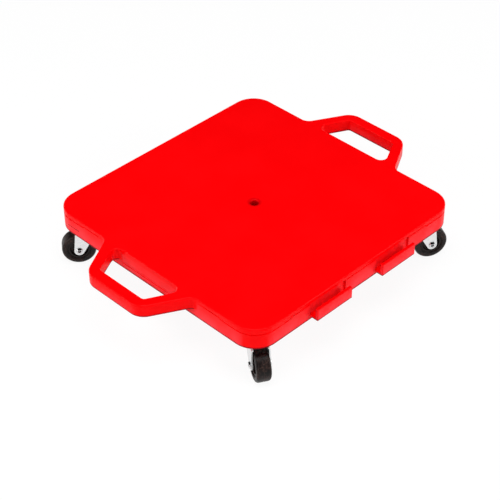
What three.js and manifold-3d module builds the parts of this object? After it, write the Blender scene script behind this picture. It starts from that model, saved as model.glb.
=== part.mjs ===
// A square moulded scooter board with two hand loops, two linking hooks and four swivel casters.
// Millimetres, +Z up. The floor is z = 0, and the origin lies under the middle of the whole
// outline. The hooks are on the -Y side, the hand loops on the -X and +X sides.

import * as THREE from 'three';
import { mergeVertices } from 'three/addons/utils/BufferGeometryUtils.js';
import Module from 'manifold-3d';

const wasm = await Module();
wasm.setup();

// Fits that several pieces share
const seatGap = 0.3;
const runningGap = 0.4;
const cutOverrun = 5;

// Points are rounded to this step, so that faces drawn to meet do so exactly
const pointStep = 1 / 1024;

// Deck moulding
const deckSide = 406.4;
const deckCornerRadius = 36;
const deckDepth = 33;
const deckTopThickness = 4;
const deckEdgeRound = 2.4;
const skirtThickness = 3.5;
const skirtDrop = 3.1;
const ribThickness = 2.4;
const ribCount = 7;
const ropeHoleDiameter = 12.7;
const ropeHoleWall = 5;

// Groove under the rim, a little lower round the corners
const rimDepth = 6;
const grooveWidth = 1.6;
const grooveDepth = 1.2;
const cornerZoneLength = 66;
const cornerGrooveDrop = 2.2;

// Hand loops
const loopReach = 66.3;
const loopThickness = 19.8;
const loopEdgeRound = 2.4;
const loopBarWidth = 17;
const loopRootHalfWidth = 88.7;
const loopTipHalfWidth = 52.2;
const loopTipRadius = 25;
const loopRootRadius = 16;
const loopRootSink = 0.2;
const slotRootHalfWidth = 69.5;
const slotTipHalfWidth = 43.8;
const slotRootRadius = 10;
const slotTipRadius = 6;
const loopWall = 3.2;
const loopRibCount = 3;

// Linking hooks on the -Y side, and the notches for them in the skirt of the +Y side
const hookReach = 12.9;
const hookWidth = 67.8;
const hookSpacing = 130.4;
const hookTopDrop = 10.4;
const hookHeight = 19.3;
const hookLipThickness = 4.8;
const hookFloorThickness = 3.4;
const hookEdgeRound = 1.2;
const hookRecessDepth = 3;
const hookEndClearance = 1.2;
const notchClearance = 2;

// Caster pads under the deck
const casterInset = 39;
const padCellSide = 38.6;
const padPostWall = 2.8;
const pilotDepth = 17;

// Caster top plate and its screws
const plateSide = 47;
const plateThickness = 2.5;
const plateCornerRadius = 6;
const screwSpacing = 36;
const screwShankDiameter = 4;
const screwLength = 16;
const screwHeadDiameter = 8;
const screwHeadHeight = 2.6;
const screwHeadTipShare = 0.75;

// Swivel race between the plate and the fork
const kingpinDiameter = 8;
const kingpinHeadDiameter = 15;
const kingpinHeadHeight = 2.4;
const kingpinHeadTipShare = 0.8;
const kingpinRivetDiameter = 12.5;
const kingpinRivetHeight = 1.8;
const kingpinRivetTipShare = 0.75;
const racePitchDiameter = 27;
const ballDiameter = 5.2;
const ballCount = 8;
const cageWidth = 1.8;
const cageHeight = 1.6;
const upperRaceDrop = 2.9;
const raceDiameter = 34.4;
const raceSkirtThickness = 1.8;
const raceSkirtDepth = 3.4;
const domeRise = 3.8;
const domeBaseDiameter = 37;
const domeTopDiameter = 33;
const washerDiameter = 18.8;
const washerThickness = 2;

// Fork
const trail = 23.4;
const forkThickness = 2;
const forkBendRadius = 3.4;
const legEndRadius = 7.4;
const legLeadingLean = THREE.MathUtils.degToRad(30);
const legTrailingLean = THREE.MathUtils.degToRad(6);
const legBlendRadius = 4;
const crownNoseLength = 9;
const crownLipHeight = 2.6;
const crownMargin = 2;
const crownNotchRadius = 4;

// Wheel and axle
const wheelDiameter = 50;
const wheelWidth = 21;
const wheelTopClearance = 2.4;
const tyreDepth = 8.6;
const tyreShoulderRadius = 4;
const tyreSideStep = 1;
const hubWidth = 22;
const hubDiameter = 15;
const hubSideGap = 0.5;
const coreRimThickness = 3;
const coreRimInset = 1.6;
const coreWebThickness = 9;
const coreFilletRadius = 1.5;
const rivetDiameter = 6.4;
const rivetFlangeDiameter = 10.4;
const rivetFlangeHeight = 1.6;
const rivetBoreDiameter = 4.8;
const rivetBoreDepth = 5;
const bushWall = 1.1;

// How finely round shapes are faceted
const deckArcSteps = 3;
const smallArcSteps = 2;
const tyreArcSteps = 1;
const edgeRoundSteps = 2;
const wheelFacets = 24;
const raceFacets = 12;
const coreFacets = 12;
const shankFacets = 8;
const screwFacets = 6;
const ballFacets = 6;
const ballRings = 3;

// Levels above the floor, and places worked out from the sizes above
const deckHalf = deckSide / 2;
const axleZ = wheelDiameter / 2;
const crownUndersideZ = wheelDiameter + wheelTopClearance;
const crownTopZ = crownUndersideZ + forkThickness;
const domeTopZ = crownTopZ + domeRise;
const ballZ = domeTopZ + seatGap + ballDiameter / 2;
const plateUndersideZ = ballZ + ballDiameter / 2 + seatGap + upperRaceDrop;
const plateTopZ = plateUndersideZ + plateThickness;
const ribDepth = deckDepth - skirtDrop;
const deckTopZ = plateTopZ + seatGap + ribDepth;
const deckCentreY = hookReach / 2;
const casterOffset = deckHalf - casterInset;
const outerRibOffset = casterOffset - padCellSide / 2;
const legInnerY = hubWidth / 2 + hubSideGap;
const legOuterY = legInnerY + forkThickness;
const bushBoreDiameter = rivetDiameter + 2 * runningGap;
const bushDiameter = bushBoreDiameter + 2 * bushWall;
const kingpinHoleDiameter = kingpinDiameter + 2 * runningGap;
const hookSides = [-1, 1];
const sides = [-1, 1];

// The corners, with the direction in which each caster trails at rest, in degrees from +X
const corners = [
  { name: 'front_left', side: -1, end: -1, trailsAt: -120 },
  { name: 'front_right', side: 1, end: -1, trailsAt: -29 },
  { name: 'rear_left', side: -1, end: 1, trailsAt: 143 },
  { name: 'rear_right', side: 1, end: 1, trailsAt: 35 },
];

// Finishes
const redPlastic = { color: 0xf00508, roughness: 0.42, metalness: 0 };
const blackRubber = { color: 0x17130f, roughness: 0.55, metalness: 0 };
const blackPlastic = { color: 0x1d1a18, roughness: 0.42, metalness: 0 };
const zincPlate = { color: 0xd4d6d8, roughness: 0.3, metalness: 1 };
const brightSteel = { color: 0xc9cbce, roughness: 0.24, metalness: 1 };
const ballSteel = { color: 0xaeb2b6, roughness: 0.16, metalness: 1 };

// Closed three.js geometry to a solid that can be joined and cut
function solid(geometry) {
  geometry.deleteAttribute('normal');
  geometry.deleteAttribute('uv');
  const points = geometry.getAttribute('position').array;
  points.forEach((value, i) => {
    points[i] = Math.round(value / pointStep) * pointStep;
  });
  const merged = mergeVertices(geometry);
  const position = merged.getAttribute('position');
  const triangles = wholeTriangles(merged.index.array);
  if (signedVolume(position, triangles) < 0) {
    triangles.reverse();
  }
  const mesh = new wasm.Mesh({
    numProp: 3,
    vertProperties: new Float32Array(position.array),
    triVerts: new Uint32Array(triangles),
  });
  return new wasm.Manifold(mesh);
}

// The triangles that still have three different corners once equal points are merged
function wholeTriangles(index) {
  const kept = [];
  for (let i = 0; i < index.length; i += 3) {
    const [a, b, c] = index.slice(i, i + 3);
    if (a !== b && b !== c && c !== a) {
      kept.push(a, b, c);
    }
  }
  return kept;
}

function signedVolume(position, triangles) {
  const [a, b, c] = [new THREE.Vector3(), new THREE.Vector3(), new THREE.Vector3()];
  let sixfold = 0;
  for (let i = 0; i < triangles.length; i += 3) {
    a.fromBufferAttribute(position, triangles[i]);
    b.fromBufferAttribute(position, triangles[i + 1]);
    c.fromBufferAttribute(position, triangles[i + 2]);
    sixfold += a.dot(b.cross(c));
  }
  return sixfold / 6;
}

function joined(solids) {
  return solids.reduce((whole, piece) => whole.add(piece));
}

// Solid back to a geometry, with flat facets
function geometryOf(shape) {
  const mesh = shape.simplify(pointStep).getMesh();
  const geometry = new THREE.BufferGeometry();
  geometry.setAttribute('position', new THREE.BufferAttribute(mesh.vertProperties, 3));
  geometry.setIndex(new THREE.BufferAttribute(mesh.triVerts, 1));
  const faceted = geometry.toNonIndexed();
  faceted.computeVertexNormals();
  return faceted;
}

// An outline through corners [x, y, fillet radius], with each fillet a tangent arc
function filletedShape(cornerList, Outline = THREE.Shape) {
  const outline = new Outline();
  cornerList.forEach(([x, y, radius], i) => {
    const corner = new THREE.Vector2(x, y);
    const before = cornerList[(i + cornerList.length - 1) % cornerList.length];
    const after = cornerList[(i + 1) % cornerList.length];
    const toBefore = new THREE.Vector2(before[0], before[1]).sub(corner).normalize();
    const toAfter = new THREE.Vector2(after[0], after[1]).sub(corner).normalize();
    if (radius === 0) {
      lineOrMove(outline, corner, i);
      return;
    }
    const halfAngle = Math.acos(THREE.MathUtils.clamp(toBefore.dot(toAfter), -1, 1)) / 2;
    const tangentLength = radius / Math.tan(halfAngle);
    const start = corner.clone().addScaledVector(toBefore, tangentLength);
    const end = corner.clone().addScaledVector(toAfter, tangentLength);
    const towardsCentre = toBefore.clone().add(toAfter).normalize();
    const centre = corner.clone().addScaledVector(towardsCentre, radius / Math.sin(halfAngle));
    lineOrMove(outline, start, i);
    const fromAngle = start.clone().sub(centre).angle();
    const toAngle = end.clone().sub(centre).angle();
    const clockwise = toBefore.cross(toAfter) > 0;
    outline.absarc(centre.x, centre.y, radius, fromAngle, toAngle, clockwise);
  });
  outline.closePath();
  return outline;
}

function lineOrMove(outline, point, i) {
  if (i === 0) {
    outline.moveTo(point.x, point.y);
  } else {
    outline.lineTo(point.x, point.y);
  }
}

function roundedRectangle(width, length, radius) {
  const [x, y] = [width / 2, length / 2];
  return filletedShape([[-x, -y, radius], [x, -y, radius], [x, y, radius], [-x, y, radius]]);
}

// A plan outline raised from one level to another, with its rims rounded if asked
function extrude(outline, lowZ, highZ, { steps = smallArcSteps, round = 0 } = {}) {
  const geometry = new THREE.ExtrudeGeometry(outline, {
    depth: highZ - lowZ - 2 * round,
    curveSegments: steps,
    bevelEnabled: round > 0,
    bevelThickness: round,
    bevelSize: round,
    bevelOffset: -round,
    bevelSegments: edgeRoundSteps,
  });
  return solid(geometry.translate(0, 0, lowZ + round));
}

// A side outline, drawn as across and up, swept along Y over a width centred on y = 0
function sweepAcross(outline, width, steps = smallArcSteps) {
  const geometry = new THREE.ExtrudeGeometry(outline, {
    depth: width,
    curveSegments: steps,
    bevelEnabled: false,
  });
  return solid(geometry.translate(0, 0, -width / 2).rotateX(Math.PI / 2));
}

// A profile of [radius, height] points turned about the Z axis
function revolve(profile, facets) {
  const points = profile.map(([radius, height]) => new THREE.Vector2(radius, height));
  const loop = points[0].x === 0 ? points : [...points, points[0]];
  return solid(new THREE.LatheGeometry(loop, facets).rotateX(Math.PI / 2));
}

function box(lowX, highX, lowY, highY, lowZ, highZ) {
  const geometry = new THREE.BoxGeometry(highX - lowX, highY - lowY, highZ - lowZ);
  return solid(geometry.translate((lowX + highX) / 2, (lowY + highY) / 2, (lowZ + highZ) / 2));
}

function cylinder(diameter, lowZ, highZ, facets, x = 0, y = 0) {
  const geometry = new THREE.CylinderGeometry(diameter / 2, diameter / 2, highZ - lowZ, facets);
  return solid(geometry.rotateX(Math.PI / 2).translate(x, y, (lowZ + highZ) / 2));
}

// A shape and its mirror image in the plane x = 0
function bothSides(shape) {
  return shape.add(shape.mirror([1, 0, 0]));
}

// Deck, drawn with its top face at z = 0 and its middle at x = y = 0

function deckOutline(inset) {
  const side = deckSide - 2 * inset;
  return roundedRectangle(side, side, deckCornerRadius - inset);
}

function deckSlab() {
  const slab = extrude(deckOutline(0), -deckDepth - cutOverrun, 0, {
    steps: deckArcSteps,
    round: deckEdgeRound,
  });
  return slab.trimByPlane([0, 0, 1], -deckDepth);
}

// A ring that cuts a groove of a given depth into the side wall, between two levels
function wallGroove(topDrop, width, depth) {
  const outer = extrude(deckOutline(-cutOverrun), -topDrop - width, -topDrop, { steps: deckArcSteps });
  const core = extrude(deckOutline(depth), -topDrop - width - cutOverrun, -topDrop + cutOverrun, {
    steps: deckArcSteps,
  });
  return outer.subtract(core);
}

function cornerZones() {
  const inner = deckHalf - cornerZoneLength;
  const outer = deckHalf + 2 * cutOverrun;
  const zones = [];
  for (const { side, end } of corners) {
    const [x1, x2] = [side * inner, side * outer].sort((a, b) => a - b);
    const [y1, y2] = [end * inner, end * outer].sort((a, b) => a - b);
    zones.push(box(x1, x2, y1, y2, -deckDepth - 2 * cutOverrun, 2 * cutOverrun));
  }
  return joined(zones);
}

function rimGrooves() {
  const zones = cornerZones();
  const middle = wallGroove(rimDepth, grooveWidth, grooveDepth).subtract(zones);
  const round = wallGroove(rimDepth + cornerGrooveDrop, grooveWidth, grooveDepth);
  return middle.add(round.intersect(zones));
}

// The loop's outer outline on the +X side, its foot buried in the deck
function loopShape(inset) {
  const tipX = deckHalf + loopReach - inset;
  const [slope, lean] = armLean(loopRootHalfWidth, loopTipHalfWidth, loopReach);
  const rootY = loopRootHalfWidth - inset * lean;
  const tipY = rootY + slope * (loopReach - inset);
  const rootX = deckHalf - loopRootSink;
  const footX = deckHalf - loopRootRadius;
  const footY = loopRootHalfWidth + loopRootRadius;
  const tipRadius = loopTipRadius - inset;
  const rootRadius = loopRootRadius + inset;
  return filletedShape([
    [footX, -footY, 0],
    [rootX, -footY, 0],
    [rootX, -rootY, rootRadius],
    [tipX, -tipY, tipRadius],
    [tipX, tipY, tipRadius],
    [rootX, rootY, rootRadius],
    [rootX, footY, 0],
    [footX, footY, 0],
  ]);
}

// The slope of an arm's edge, and how far a sideways offset moves it along Y
function armLean(rootHalfWidth, tipHalfWidth, reach) {
  const slope = (tipHalfWidth - rootHalfWidth) / reach;
  return [slope, Math.hypot(1, slope)];
}

// The hand slot between the arms, the bar and just inside the deck's side wall, grown by a margin
function slotShape(margin) {
  const slotReach = loopReach - loopBarWidth;
  const [slope, lean] = armLean(slotRootHalfWidth, slotTipHalfWidth, slotReach);
  const rootY = slotRootHalfWidth + margin * (lean - slope);
  const tipY = slotTipHalfWidth + margin * (lean + slope);
  const innerX = deckHalf - loopRootSink - margin;
  const tipX = deckHalf + slotReach + margin;
  return filletedShape([
    [innerX, -rootY, slotRootRadius + margin],
    [tipX, -tipY, slotTipRadius + margin],
    [tipX, tipY, slotTipRadius + margin],
    [innerX, rootY, slotRootRadius + margin],
  ]);
}

function handLoop() {
  return extrude(loopShape(0), -loopThickness, 0, { round: loopEdgeRound });
}

function handSlot() {
  return extrude(slotShape(0), -loopThickness - cutOverrun, cutOverrun);
}

// The channel under the loop, open downwards, with thin ribs left standing across it
function loopChannel() {
  const lowZ = -loopThickness - cutOverrun;
  const outer = extrude(loopShape(loopWall), lowZ, -deckTopThickness);
  const island = extrude(slotShape(loopWall), lowZ - cutOverrun, cutOverrun);
  const deckBlock = box(0, deckHalf, -deckHalf, deckHalf, lowZ - cutOverrun, cutOverrun);
  return outer.subtract(joined([island, deckBlock, loopRibs(lowZ)]));
}

function loopRibs(lowZ) {
  const half = ribThickness / 2;
  return joined(evenlySpaced(loopRibCount, loopTipHalfWidth).map((y) => (
    box(deckHalf, deckHalf + loopReach, y - half, y + half, lowZ, 0)
  )));
}

// Places at equal steps from -reach to reach
function evenlySpaced(count, reach) {
  return Array.from({ length: count }, (_, i) => reach * (2 * i / (count - 1) - 1));
}

// Square grid of ribs, level with the caster pads. The skirt drops a little below them.
function ribGrid() {
  const reach = deckHalf - skirtThickness / 2;
  const half = ribThickness / 2;
  return joined(evenlySpaced(ribCount, outerRibOffset).flatMap((at) => [
    box(at - half, at + half, -reach, reach, -ribDepth, 0),
    box(-reach, reach, at - half, at + half, -ribDepth, 0),
  ]));
}

// The two outer walls and four corner posts that carry one caster plate, about x = y = 0.
// The grid's outermost ribs are the pad's inner walls.
function casterPad() {
  const half = ribThickness / 2;
  const wallAt = padCellSide / 2;
  const toSkirt = casterInset - skirtThickness / 2;
  const postReach = screwShankDiameter / 2 + seatGap + padPostWall;
  const posts = screwPlaces().map(([x, y]) => (
    box(x - postReach, x + postReach, y - postReach, y + postReach, -ribDepth, 0)
  ));
  return joined([
    box(wallAt - half, wallAt + half, -wallAt, toSkirt, -ribDepth, 0),
    box(-wallAt, toSkirt, wallAt - half, wallAt + half, -ribDepth, 0),
    ...posts,
  ]);
}

function screwPlaces() {
  const half = screwSpacing / 2;
  return [[-half, -half], [half, -half], [-half, half], [half, half]];
}

function pilotHoles() {
  const diameter = screwShankDiameter + 2 * seatGap;
  return joined(screwPlaces().map(([x, y]) => (
    cylinder(diameter, -ribDepth - cutOverrun, -ribDepth + pilotDepth, screwFacets, x, y)
  )));
}

// The same shape at each corner of the deck, turned so that its +X and +Y face outwards
function atCorners(shape) {
  return joined(corners.map(({ side, end }) => {
    let turned = shape;
    if (side < 0) {
      turned = turned.mirror([1, 0, 0]);
    }
    if (end < 0) {
      turned = turned.mirror([0, 1, 0]);
    }
    return turned.translate([side * casterOffset, end * casterOffset, 0]);
  }));
}

function ropeBoss() {
  return cylinder(ropeHoleDiameter + 2 * ropeHoleWall, -ribDepth, 0, raceFacets);
}

function ropeHole() {
  return cylinder(ropeHoleDiameter, -ribDepth - cutOverrun, cutOverrun, raceFacets);
}

// The wall behind each hook steps inwards, and keeps its thickness
function hookRecesses() {
  return joined(hookSides.map((side) => {
    const middle = side * hookMiddle();
    const half = hookWidth / 2 + hookEndClearance;
    return box(
      middle - half, middle + half,
      -deckHalf - cutOverrun, -deckHalf + hookRecessDepth,
      -hookTopDrop - hookHeight + hookFloorThickness / 2, -rimDepth - grooveWidth / 2,
    );
  }));
}

function hookMiddle() {
  return hookSpacing / 2;
}

function recessLinings() {
  return joined(hookSides.map((side) => {
    const middle = side * hookMiddle();
    const margin = hookWidth / 2 + hookEndClearance + skirtThickness;
    return box(
      middle - margin, middle + margin,
      -deckHalf, -deckHalf + hookRecessDepth + skirtThickness, -deckDepth, 0,
    );
  }));
}

// One hook, a floor and an upright lip, as a profile of [along Y, up] swept along X
function linkingHook(middle) {
  const lipY = -deckHalf - hookReach;
  const rootY = -deckHalf + hookRecessDepth + skirtThickness / 2;
  const topZ = -hookTopDrop;
  const lowZ = topZ - hookHeight;
  const profile = filletedShape([
    [lipY, lowZ, hookEdgeRound],
    [rootY, lowZ, 0],
    [rootY, lowZ + hookFloorThickness, 0],
    [lipY + hookLipThickness, lowZ + hookFloorThickness, hookEdgeRound],
    [lipY + hookLipThickness, topZ, hookEdgeRound],
    [lipY, topZ, hookEdgeRound],
  ]);
  const swept = new THREE.ExtrudeGeometry(profile, {
    depth: hookWidth,
    curveSegments: smallArcSteps,
    bevelEnabled: false,
  });
  const turn = new THREE.Matrix4().makeBasis(
    new THREE.Vector3(0, 1, 0), new THREE.Vector3(0, 0, 1), new THREE.Vector3(1, 0, 0),
  );
  return solid(swept.applyMatrix4(turn).translate(middle - hookWidth / 2, 0, 0));
}

// Notches in the far skirt, so that it drops into the hooks of the board behind
function skirtNotches() {
  const floorZ = -hookTopDrop - hookHeight + hookFloorThickness;
  return joined(hookSides.map((side) => {
    const middle = side * hookMiddle();
    const half = hookWidth / 2 + notchClearance;
    return box(
      middle - half, middle + half,
      deckHalf - skirtThickness - cutOverrun, deckHalf + cutOverrun,
      -deckDepth - cutOverrun, floorZ + notchClearance,
    );
  }));
}

function makeDeck() {
  const slab = deckSlab().subtract(rimGrooves());
  const hollow = extrude(deckOutline(skirtThickness), -deckDepth - cutOverrun, -deckTopThickness, {
    steps: deckArcSteps,
  });
  const structure = joined([ribGrid(), atCorners(casterPad()), ropeBoss(), recessLinings()]);
  const hooks = joined(hookSides.map((side) => linkingHook(side * hookMiddle())));
  const cuts = joined([
    hollow.subtract(structure),
    bothSides(loopChannel()),
    bothSides(handSlot()).subtract(slab),
    atCorners(pilotHoles()),
    ropeHole(),
    skirtNotches(),
    hookRecesses(),
  ]);
  return slab
    .add(bothSides(handLoop()))
    .subtract(cuts)
    .add(hooks);
}

// Casters, drawn with the kingpin on the Z axis and the floor at z = 0

function makePlate() {
  const plate = extrude(
    roundedRectangle(plateSide, plateSide, plateCornerRadius), plateUndersideZ, plateTopZ,
  );
  const raceZ = plateUndersideZ - upperRaceDrop;
  const skirtInner = raceDiameter / 2;
  const skirtOuter = skirtInner + raceSkirtThickness;
  const race = revolve([
    [kingpinHoleDiameter / 2, plateTopZ],
    [kingpinHoleDiameter / 2, raceZ],
    [skirtInner, raceZ],
    [skirtInner, raceZ - raceSkirtDepth],
    [skirtOuter, raceZ - raceSkirtDepth],
    [skirtOuter, plateTopZ],
  ], raceFacets);
  const holes = screwPlaces().map(([x, y]) => (
    cylinder(screwHoleDiameter(), plateUndersideZ - cutOverrun, plateTopZ + cutOverrun, screwFacets, x, y)
  ));
  const bore = cylinder(
    kingpinHoleDiameter, plateUndersideZ - cutOverrun, plateTopZ + cutOverrun, raceFacets,
  );
  return plate.subtract(joined([...holes, bore])).add(race);
}

function screwHoleDiameter() {
  return screwShankDiameter + 2 * runningGap;
}

function makeScrew() {
  const headTopZ = plateUndersideZ - seatGap;
  const headLowZ = headTopZ - screwHeadHeight;
  const [head, shank] = [screwHeadDiameter / 2, screwShankDiameter / 2];
  const tipZ = headTopZ + screwLength;
  return revolve([
    [0, headLowZ],
    [head * screwHeadTipShare, headLowZ],
    [head, headTopZ],
    [shank, headTopZ],
    [shank, tipZ - screwShankDiameter],
    [0, tipZ],
  ], screwFacets);
}

function makeBallRing() {
  const pitch = racePitchDiameter / 2;
  const [low, high] = [ballZ - cageHeight / 2, ballZ + cageHeight / 2];
  const [inner, outer] = [pitch - cageWidth / 2, pitch + cageWidth / 2];
  const cage = revolve([[inner, low], [outer, low], [outer, high], [inner, high]], ballCount);
  const balls = [];
  for (let i = 0; i < ballCount; i += 1) {
    const angle = 2 * Math.PI * (i / ballCount);
    const ball = new THREE.SphereGeometry(ballDiameter / 2, ballFacets, ballRings).rotateX(Math.PI / 2);
    balls.push(solid(ball.translate(pitch * Math.cos(angle), pitch * Math.sin(angle), ballZ)));
  }
  return joined([cage, ...balls]);
}

function washerTopZ() {
  return domeTopZ - forkThickness - seatGap;
}

function makeWasher() {
  const topZ = washerTopZ();
  const lowZ = topZ - washerThickness;
  const [inner, outer] = [kingpinHoleDiameter / 2, washerDiameter / 2];
  return revolve([[inner, lowZ], [outer, lowZ], [outer, topZ], [inner, topZ]], shankFacets);
}

// The kingpin's head carries the washer, and its upper end is riveted over above the plate
function makeKingpin() {
  const headTopZ = washerTopZ() - washerThickness - seatGap;
  const headLowZ = headTopZ - kingpinHeadHeight;
  const rivetLowZ = plateTopZ + seatGap;
  const rivetTopZ = rivetLowZ + kingpinRivetHeight;
  const [head, shank, rivet] = [kingpinHeadDiameter / 2, kingpinDiameter / 2, kingpinRivetDiameter / 2];
  return revolve([
    [0, headLowZ],
    [head * kingpinHeadTipShare, headLowZ],
    [head, headLowZ + kingpinHeadHeight / 2],
    [head, headTopZ],
    [shank, headTopZ],
    [shank, rivetLowZ],
    [rivet, rivetLowZ],
    [rivet * kingpinRivetTipShare, rivetTopZ],
    [0, rivetTopZ],
  ], shankFacets);
}

// Fork, drawn with the kingpin on the Z axis and the wheel trailing along +X

// The side outline is drawn about the axle. Both edges of a leg are tangents of its round end.
function forkSideOutline() {
  const topZ = crownTopZ - axleZ;
  const lipZ = crownUndersideZ - axleZ - crownLipHeight;
  const endZ = -legEndRadius;
  const noseX = -trail - crownNoseLength;
  return filletedShape([
    [trailingEdgeX(topZ), topZ, 0],
    [noseX, topZ, 0],
    [noseX, lipZ, 0],
    [leadingEdgeX(lipZ), lipZ, legBlendRadius],
    [leadingEdgeX(endZ), endZ, legEndRadius],
    [trailingEdgeX(endZ), endZ, legEndRadius],
  ]);
}

function leadingEdgeX(z) {
  return -(legEndRadius + z * Math.sin(legLeadingLean)) / Math.cos(legLeadingLean);
}

function trailingEdgeX(z) {
  return (legEndRadius - z * Math.sin(legTrailingLean)) / Math.cos(legTrailingLean);
}

// The bent strip that the legs and the crown are cut from, as a section of [across, up]
function forkSection() {
  const lowZ = -legEndRadius - cutOverrun;
  const topZ = crownTopZ - axleZ;
  const innerTopZ = crownUndersideZ - axleZ;
  const innerRadius = forkBendRadius - forkThickness;
  return filletedShape([
    [-legOuterY, lowZ, 0],
    [-legInnerY, lowZ, 0],
    [-legInnerY, innerTopZ, innerRadius],
    [legInnerY, innerTopZ, innerRadius],
    [legInnerY, lowZ, 0],
    [legOuterY, lowZ, 0],
    [legOuterY, topZ, forkBendRadius],
    [-legOuterY, topZ, forkBendRadius],
  ]);
}

function makeFork() {
  const outline = sweepAcross(forkSideOutline(), 2 * legOuterY + 2 * cutOverrun);
  const stripLength = 2 * (trail + crownNoseLength + cutOverrun);
  const strip = sweepAcross(forkSection(), stripLength).rotate([0, 0, 90]);
  const axleHole = cylinder(rivetHoleDiameter(), -legOuterY - cutOverrun, legOuterY + cutOverrun, shankFacets)
    .rotate([90, 0, 0]);
  const legs = strip.intersect(outline).subtract(axleHole).translate([trail, 0, axleZ])
    .subtract(crownNotch());
  const [base, top] = [domeBaseDiameter / 2, domeTopDiameter / 2];
  const dome = revolve([
    [0, crownUndersideZ],
    [base, crownUndersideZ],
    [base, crownTopZ],
    [top, domeTopZ],
    [0, domeTopZ],
  ], raceFacets);
  const hollow = cylinder(
    washerDiameter + 2 * runningGap, crownUndersideZ - cutOverrun, domeTopZ - forkThickness, raceFacets,
  );
  const bore = cylinder(
    kingpinHoleDiameter, crownUndersideZ - cutOverrun, domeTopZ + cutOverrun, shankFacets,
  );
  return legs.add(dome).subtract(hollow).subtract(bore);
}

// Between the tops of the legs the crown is cut back to the race, over the wheel's tread
function crownNotch() {
  const rootX = domeBaseDiameter / 2 + crownMargin;
  const farX = trail + legEndRadius + cutOverrun;
  const halfWidth = legInnerY - forkBendRadius + forkThickness;
  const notch = filletedShape([
    [rootX, -halfWidth, crownNotchRadius],
    [farX, -halfWidth, 0],
    [farX, halfWidth, 0],
    [rootX, halfWidth, crownNotchRadius],
  ]);
  return extrude(notch, crownUndersideZ - cutOverrun, crownTopZ + cutOverrun);
}

function rivetHoleDiameter() {
  return rivetDiameter + 2 * seatGap;
}

// Wheel pieces, drawn about the Z axis with the wheel's middle at z = 0, then laid along Y

function layAlongY(shape) {
  return shape.rotate([90, 0, 0]);
}

function profileOf(outline) {
  const points = outline.getPoints(tyreArcSteps).map((point) => [point.x, point.y]);
  return points.slice(0, -1);
}

// The tyre stands on one of its flats, so its flats and not its edges are at the full radius
function makeTyre() {
  const halfFacet = Math.PI / wheelFacets;
  const half = wheelWidth / 2;
  const outer = wheelDiameter / 2 / Math.cos(halfFacet);
  const inner = wheelDiameter / 2 - tyreDepth;
  const profile = profileOf(filletedShape([
    [inner, -half + tyreSideStep, 0],
    [outer, -half, tyreShoulderRadius],
    [outer, half, tyreShoulderRadius],
    [inner, half - tyreSideStep, 0],
  ]));
  const turn = THREE.MathUtils.radToDeg(halfFacet);
  return layAlongY(revolve(profile, wheelFacets).rotate([0, 0, turn]));
}

// The core has a full-width hub, a rim under the tyre and a thinner web between them
function makeCore() {
  const outer = wheelDiameter / 2 - tyreDepth - seatGap;
  const rimInner = outer - coreRimThickness;
  const rimHalf = wheelWidth / 2 - coreRimInset;
  const webHalf = coreWebThickness / 2;
  const bore = bushDiameter / 2 + runningGap;
  const [hub, hubHalf] = [hubDiameter / 2, hubWidth / 2];
  return layAlongY(revolve([
    [bore, -hubHalf],
    [hub, -hubHalf],
    [hub, -webHalf],
    [rimInner, -webHalf],
    [rimInner, -rimHalf],
    [outer, -rimHalf],
    [outer, rimHalf],
    [rimInner, rimHalf],
    [rimInner, webHalf],
    [hub, webHalf],
    [hub, hubHalf],
    [bore, hubHalf],
  ], coreFacets));
}

function makeBush() {
  const half = legInnerY - seatGap;
  const [inner, outer] = [bushBoreDiameter / 2, bushDiameter / 2];
  return layAlongY(revolve([[inner, -half], [outer, -half], [outer, half], [inner, half]], shankFacets));
}

// A tubular rivet, flared over at both ends
function makeAxleRivet() {
  const flangeY = legOuterY + seatGap;
  const endY = flangeY + rivetFlangeHeight;
  const [shank, flange, bore] = [rivetDiameter / 2, rivetFlangeDiameter / 2, rivetBoreDiameter / 2];
  const end = [
    [0, endY - rivetBoreDepth],
    [bore, endY - rivetBoreDepth],
    [bore, endY],
    [flange - rivetFlangeHeight / 2, endY],
    [flange, flangeY],
    [shank, flangeY],
  ];
  const farEnd = end.map(([radius, y]) => [radius, -y]).reverse();
  return layAlongY(revolve([...end, ...farEnd], shankFacets));
}

// Scene graph

function piece(name, shape, finish) {
  const mesh = new THREE.Mesh(geometryOf(shape), new THREE.MeshStandardMaterial(finish));
  mesh.name = name;
  return mesh;
}

function casterAt({ name, side, end, trailsAt }) {
  const caster = new THREE.Group();
  caster.position.set(side * casterOffset, deckCentreY + end * casterOffset, 0);
  caster.add(
    piece(`caster_plate_${name}`, makePlate(), zincPlate),
    piece(`kingpin_${name}`, makeKingpin(), brightSteel),
    piece(`thrust_washer_${name}`, makeWasher(), brightSteel),
    piece(`ball_ring_${name}`, makeBallRing(), ballSteel),
    swivelAssembly(name, trailsAt),
  );
  screwPlaces().forEach(([x, y], i) => {
    const screw = piece(`plate_screw_${i + 1}_${name}`, makeScrew(), brightSteel);
    screw.position.set(x, y, 0);
    caster.add(screw);
  });
  return caster;
}

function swivelAssembly(name, trailsAt) {
  const swivel = new THREE.Group();
  swivel.rotation.z = THREE.MathUtils.degToRad(trailsAt);
  swivel.add(piece(`fork_${name}`, makeFork(), zincPlate));
  const axle = new THREE.Group();
  axle.position.set(trail, 0, axleZ);
  axle.add(
    piece(`axle_rivet_${name}`, makeAxleRivet(), brightSteel),
    piece(`axle_bush_${name}`, makeBush(), brightSteel),
    piece(`wheel_core_${name}`, makeCore(), blackPlastic),
    piece(`tyre_${name}`, makeTyre(), blackRubber),
  );
  swivel.add(axle);
  return swivel;
}

function makeBoard() {
  const board = new THREE.Group();
  const deck = piece('deck', makeDeck(), redPlastic);
  deck.position.set(0, deckCentreY, deckTopZ);
  board.add(deck);
  for (const corner of corners) {
    board.add(casterAt(corner));
  }
  return board;
}

export default makeBoard();
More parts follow.
